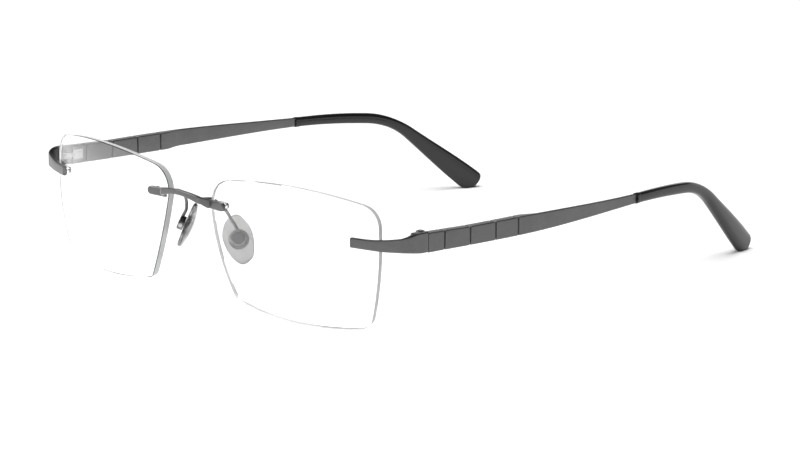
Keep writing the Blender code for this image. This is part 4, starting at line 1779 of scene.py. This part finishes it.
    def tip(self) -> Solid:
        """The moulded tip, bored for the core wire and cut flat where it stands.

        Returns:
            The solid.
        """
        first = self.tip_start + self.collar_length + 0.03
        loops = [self.tip_section(first, 0.05), self.tip_section(first + 0.06)]
        loops += [self.tip_section(y) for y in spread(94.0, 104.0, 6) + spread(105.0, 145.2, 60)]
        for back in (0.8, 0.6, 0.42, 0.26, 0.14, 0.05, 0.0):
            loops.append(self.tip_section(self.tip_end - back, round_off(back, 0.5)))
        wide = rounded_box(1.0, 1.6, 0.25, 6)
        places = [first - 2.0] + spread(98.0, self.core_end + 0.4, 10)
        hollow = Solid.loft([self.station(y, wide, self.thin / 2) for y in places])
        solid = Solid.loft(loops).less(hollow)
        mesh = solid.mesh
        parts = mesh.verts[:] + mesh.edges[:] + mesh.faces[:]
        floor = {"plane_co": (0, 0, 0), "plane_no": (0, 0, -1)}
        cut = bmesh.ops.bisect_plane(mesh, geom=parts, clear_outer=True, **floor)
        rim = [part for part in cut["geom_cut"] if isinstance(part, bmesh.types.BMEdge)]
        if rim:
            bmesh.ops.edgeloop_fill(mesh, edges=rim)
        return solid

    def collar(self) -> Solid:
        """The ring where the blade goes into the tip.

        Returns:
            The solid.
        """
        loops = []
        for along in (0.0, 0.05, 0.12, 0.5, 0.9, 1.18, 1.25, self.collar_length):
            edge = min(along, self.collar_length - along)
            drawn = round_off(edge, 0.12)
            shape = oval(2.1 - 2 * drawn, 2.75 - 2 * drawn)
            loops.append(self.station(self.tip_start + along, shape, self.thin / 2))
        bore = rounded_box(self.thin + 0.16, 2.5, 0.25, 6)
        ends = (self.tip_start - 1.0, self.tip_start + self.collar_length + 1.0)
        hollow = Solid.loft([self.station(y, bore, self.thin / 2) for y in ends])
        return Solid.loft(loops).less(hollow)

    def build(self, assembly: Assembly) -> None:
        """Places both temples.

        Args:
            assembly: Where they go.
        """
        assembly.pair("temple_arm", self.blade(), (self.plating,), TEMPLES, "temple_blade")
        assembly.pair("collar_ring", self.collar(), (self.acetate,), TEMPLES, "temple_collar")
        assembly.pair("ear_tip", self.tip(), (self.acetate,), TEMPLES, "temple_tip")


# ---------------------------------------------------------------- nose pads


@dataclass
class NosePads:
    """Soft crowned pads that rock in round boxes on bent wires."""

    box: Vector = field(default_factory=lambda: Vector((11.8, 7.95, 16.65)))
    facing: Vector = field(default_factory=lambda: Vector((-0.673, 0.630, -0.387)))
    down: Vector = field(default_factory=lambda: Vector((0.363, -0.174, -0.915)))
    wire_radius: float = 0.42
    box_radius: float = 1.85
    box_inside: float = 1.45
    box_half_depth: float = 0.75
    pivot_radius: float = 0.35
    pivot_bore: float = 0.42
    pivot_lift: float = 0.1
    stem_radius: float = 0.72
    disc_radius: float = 2.5
    disc_back: float = 1.25
    disc_thickness: float = 0.4
    pad_back: float = 1.0
    pad_side: float = 1.0
    pad_crown: float = 1.1
    route: tuple[tuple[float, float, float], ...] = (
        (6.8, -1.17, 26.95),
        (6.85, 1.4, 26.72),
        (7.45, 3.9, 26.2),
        (7.8, 5.6, 25.0),
        (8.6, 7.0, 23.0),
        (9.6, 7.8, 20.8),
        (10.5, 8.1, 19.6),
        (11.28, 8.1, 18.59),
    )
    outline: tuple[tuple[float, float], ...] = (
        (-6.25, -0.4),
        (-6.15, 1.1),
        (-4.8, 2.8),
        (-2.1, 3.8),
        (0.5, 3.65),
        (4.1, 2.2),
        (6.3, -0.3),
        (4.7, -3.0),
        (0.9, -3.6),
        (-2.5, -3.15),
        (-5.0, -1.7),
    )
    plating: SatinPlating = SatinPlating(
        "wire_plating",
        colour=(0.085, 0.084, 0.083),
        lighter=(0.12, 0.118, 0.117),
        roughness=0.24,
        rougher=0.32,
    )
    steel: TurnedSteel = TurnedSteel(
        "core_plate", colour=(0.34, 0.335, 0.33), lighter=(0.44, 0.435, 0.43), roughness=0.24, rougher=0.36
    )
    # The pads' colour darkens at their silhouette: a painted dark rim.
    silicone: ClearMoulding = ClearMoulding("smoky_silicone", painted_rim_shade_share=0.9)

    def placing(self) -> Matrix:
        """The left pad's frame (down, across, towards the nose) in the datum, from its box."""
        facing = self.facing.normalized()
        down = (self.down - facing * self.down.dot(facing)).normalized()
        turn = Matrix((down, facing.cross(down), facing)).transposed().to_4x4()
        return Matrix.Translation(self.box) @ turn

    def cross_bore(self, reach: float) -> Solid:
        """The hole for the pivot screw, this far to each side."""
        ends = [Vector((0.0, way * reach, self.pivot_lift)) for way in (-1, 1)]
        return Solid.rod(ends[0], ends[1], self.pivot_bore, segments=24)

    def wire(self) -> Solid:
        """The wire from the back of the bridge to the box."""
        line = curve_through(self.route, 10)
        return Solid.tube(line, [self.wire_radius] * len(line))

    def cup(self) -> Solid:
        """The round box, open towards the nose.

        Returns:
            The solid.
        """
        half, outer, inner = self.box_half_depth, self.box_radius, self.box_inside
        profile = [(0.0, -half)]
        for angle in spread(0.0, 90.0, 7):
            turn = math.radians(angle)
            profile.append((outer - 0.3 + 0.3 * math.sin(turn), -half + 0.3 - 0.3 * math.cos(turn)))
        profile += [(outer, half - 0.06), (outer - 0.06, half), (inner + 0.05, half), (inner, half - 0.05)]
        profile += [(inner, -half + 0.35), (0.0, -half + 0.35)]
        return Solid.turned(profile).less(self.cross_bore(3.0)).moved(self.placing())

    def core(self) -> Solid:
        """The disc moulded into the pad, with the stem that the screw holds.

        Returns:
            The solid.
        """
        top = self.disc_back + self.disc_thickness
        stem = Solid.turned(
            (
                (0.0, -0.28),
                (self.stem_radius - 0.1, -0.28),
                (self.stem_radius, -0.18),
                (self.stem_radius, self.disc_back + 0.2),
                (0.0, self.disc_back + 0.2),
            )
        )
        disc = Solid.turned(
            (
                (0.0, self.disc_back),
                (self.disc_radius - 0.1, self.disc_back),
                (self.disc_radius, self.disc_back + 0.1),
                (self.disc_radius, top - 0.1),
                (self.disc_radius - 0.1, top),
                (0.0, top),
            )
        )
        return stem.joined(disc).less(self.cross_bore(2.0)).moved(self.placing())

    def screw(self) -> Solid:
        """The slotted screw across the box.

        Returns:
            The solid.
        """
        end = self.box_radius + 0.04
        head, rise = 0.62, 0.28
        profile = (
            (0.0, -end),
            (self.pivot_radius - 0.06, -end),
            (self.pivot_radius, -end + 0.06),
            (self.pivot_radius, end),
            (head, end),
            (head, end + rise - 0.1),
            (head - 0.1, end + rise),
            (0.0, end + rise),
        )
        slot = Solid.block((-1.0, -0.07, end + rise - 0.12), (1.0, 0.07, end + rise + 0.2))
        turn = Matrix.Translation((0, 0, self.pivot_lift)) @ Matrix.Rotation(-math.pi / 2, 4, "X")
        return Solid.turned(profile, 32).less(slot).moved(self.placing() @ turn)

    def cushion(self) -> Solid:
        """The soft pad: drop-shaped, crowned towards the nose, recessed for its core.

        Returns:
            The solid.
        """
        outline = curve_through([(*point, 0.0) for point in self.outline], 9, closed=True)
        edge = self.pad_back + self.pad_side
        levels = [(0.3, self.pad_back, 0.0), (0.6, self.pad_back, 0.0), (0.86, self.pad_back, 0.0)]
        levels += [(0.93, self.pad_back + 0.05, 0.0), (0.965, self.pad_back + 0.16, 0.0)]
        levels += [(0.988, self.pad_back + 0.32, 0.0), (1.0, self.pad_back + 0.56, 0.0)]
        levels += [(0.993, self.pad_back + 0.74, 0.0), (0.975, edge - 0.1, 0.02), (0.95, edge, 0.12)]
        levels += [(share, edge, 1.0 - share**2.1) for share in (0.9, 0.82, 0.72, 0.6, 0.47, 0.34, 0.2, 0.08)]
        loops = []
        for share, height, crown in levels:
            rise = height + self.pad_crown * crown
            loops.append([Vector((p.x * share, p.y * share, rise)) for p in outline])
        reach = self.disc_radius + 0.06
        depth = self.disc_back + self.disc_thickness + 0.06
        behind = self.pad_back - 1.0
        recess = Solid.turned(((0.0, behind), (reach, behind), (reach, depth), (0.0, depth)))
        return Solid.loft(loops).less(recess).moved(self.placing())

    def build(self, assembly: Assembly) -> None:
        """Places the arms, boxes, screws, cores and pads.

        Args:
            assembly: Where they go.
        """
        assembly.pair("pad_wire", self.wire(), (self.plating,), FRONT, "pad_arm")
        assembly.pair("pad_cup", self.cup(), (self.plating,), FRONT, "pad_box")
        assembly.pair("pivot_screw", self.screw(), (Hinge.steel,), FRONT, "pad_screw")
        assembly.pair("pad_disc", self.core(), (self.steel,), PADS, "pad_core")
        assembly.pair("pad_cushion", self.cushion(), (self.silicone,), PADS, "nose_pad", 50.0)


# ---------------------------------------------------------------- studio


@dataclass
class Softbox:
    """A rectangular lamp that shines at a point, through a grid that narrows its beam."""

    name: str
    place: Vector
    aim: Vector
    size: tuple[float, float]
    power: float
    beam: float = math.pi

    def build(self) -> None:
        """Adds the lamp to the scene."""
        lamp = bpy.data.lights.new(self.name, "AREA")
        lamp.shape = "RECTANGLE"
        lamp.size, lamp.size_y = self.size
        lamp.energy = self.power
        lamp.spread = self.beam
        holder = bpy.data.objects.new(self.name, lamp)
        holder.location = self.place
        holder.rotation_euler = (self.aim - self.place).to_track_quat("-Z", "Y").to_euler()
        bpy.context.scene.collection.objects.link(holder)


@dataclass
class CeilingGlow:
    """Even light from a wide ceiling, which whitens the sweep and leaves no glint on gloss."""

    name: str = "ceiling_glow"
    lean: tuple[float, float] = (0.12, 0.10)
    strength: float = 3.15
    width: float = math.radians(50.0)

    def build(self) -> None:
        """Adds the light to the scene."""
        lamp = bpy.data.lights.new(self.name, "SUN")
        lamp.energy = self.strength
        lamp.angle = self.width
        holder = bpy.data.objects.new(self.name, lamp)
        holder.rotation_euler = (self.lean[0], self.lean[1], 0.0)
        holder.visible_glossy = False
        bpy.context.scene.collection.objects.link(holder)


@dataclass
class Studio:
    """A pale sweep, soft lamps, a pale room that darkens overhead, and the camera."""

    azimuth: float = math.radians(48.28)
    elevation: float = math.radians(12.495)
    distance: float = 1.1785
    aim: Vector = field(default_factory=lambda: Vector((0.0, -0.00107, 0.008635)))
    lens: float = 204.28
    sensor: float = 36.0
    floor_half: float = 6.0
    horizon: float = 1.05
    overhead: float = 0.08
    ceiling: CeilingGlow = field(default_factory=CeilingGlow)
    boxes: tuple[Softbox, ...] = (
        Softbox(
            "front_left_box",
            Vector((-0.35, -0.28, 0.35)),
            Vector((-0.09, -0.08, 0.0)),
            (0.2, 0.2),
            0.12,
            math.radians(40.0),
        ),
    )

    def room(self) -> None:
        """A world that is pale low down and dim overhead."""
        world = bpy.data.worlds.new("pale_room")
        bpy.context.scene.world = world
        world.use_nodes = True
        board = Board(world.node_tree)
        way = board.add("ShaderNodeTexCoord").outputs["Generated"]
        height = board.add("ShaderNodeSeparateXYZ", {0: way}).outputs["Z"]
        share = board.add(
            "ShaderNodeMapRange",
            {
                "Value": height,
                "From Min": 0.25,
                "From Max": 0.45,
                "To Min": self.horizon,
                "To Max": self.overhead,
            },
            interpolation_type="SMOOTHSTEP",
        )
        back = world.node_tree.nodes["Background"]
        back.inputs["Color"].default_value = (1.0, 1.0, 1.0, 1.0)
        world.node_tree.links.new(share.outputs[0], back.inputs["Strength"])

    def sweep(self, assembly: Assembly) -> None:
        """The floor.

        Args:
            assembly: Where its material is kept.
        """
        mesh = bmesh.new()
        bmesh.ops.create_grid(mesh, x_segments=8, y_segments=8, size=self.floor_half)
        data = bpy.data.meshes.new("floor_sweep")
        mesh.to_mesh(data)
        mesh.free()
        data.materials.append(assembly.material(PaperSweep()))
        floor = bpy.data.objects.new("floor_sweep", data)
        bpy.context.scene.collection.objects.link(floor)

    def camera(self) -> None:
        """The camera, which looks at the aim from its azimuth and elevation."""
        level = math.cos(self.elevation)
        aside, ahead = math.sin(self.azimuth) * level, math.cos(self.azimuth) * level
        back = Vector((aside, -ahead, math.sin(self.elevation)))
        data = bpy.data.cameras.new("camera")
        data.lens = self.lens
        data.sensor_width = self.sensor
        data.clip_start = 0.05
        data.clip_end = 50.0
        camera = bpy.data.objects.new("camera", data)
        camera.location = self.aim + back * self.distance
        camera.rotation_euler = (-back).to_track_quat("-Z", "Y").to_euler()
        bpy.context.scene.collection.objects.link(camera)
        bpy.context.scene.camera = camera

    def build(self, assembly: Assembly) -> None:
        """Sets up the floor, lamps, room and camera.

        Args:
            assembly: Where the floor's material is kept.
        """
        bpy.context.scene.view_settings.view_transform = "Standard"
        self.room()
        self.sweep(assembly)
        self.camera()
        for box in self.boxes:
            box.build()
        self.ceiling.build()


# ---------------------------------------------------------------- all of it


def main() -> None:
    """Builds the sub-assemblies in order."""
    logging.basicConfig(level=logging.INFO, format="%(name)s %(message)s")
    hinge = Hinge()
    assembly = Assembly.on_frame(hinge.axis)
    Studio().build(assembly)
    lenses = LensPair()
    bridge = Bridge(lenses)
    endpiece = Endpiece(lenses, hinge)
    lenses.build(assembly, bridge.mount().places + endpiece.mount().places)
    builders: list[Callable[[Assembly], None]] = [bridge.build, endpiece.build, hinge.build]
    builders += [Temple(hinge).build, NosePads().build]
    for build in builders:
        build(assembly)
    LOG.info("%d pieces placed", assembly.count)


if __name__ == "__main__":
    main()
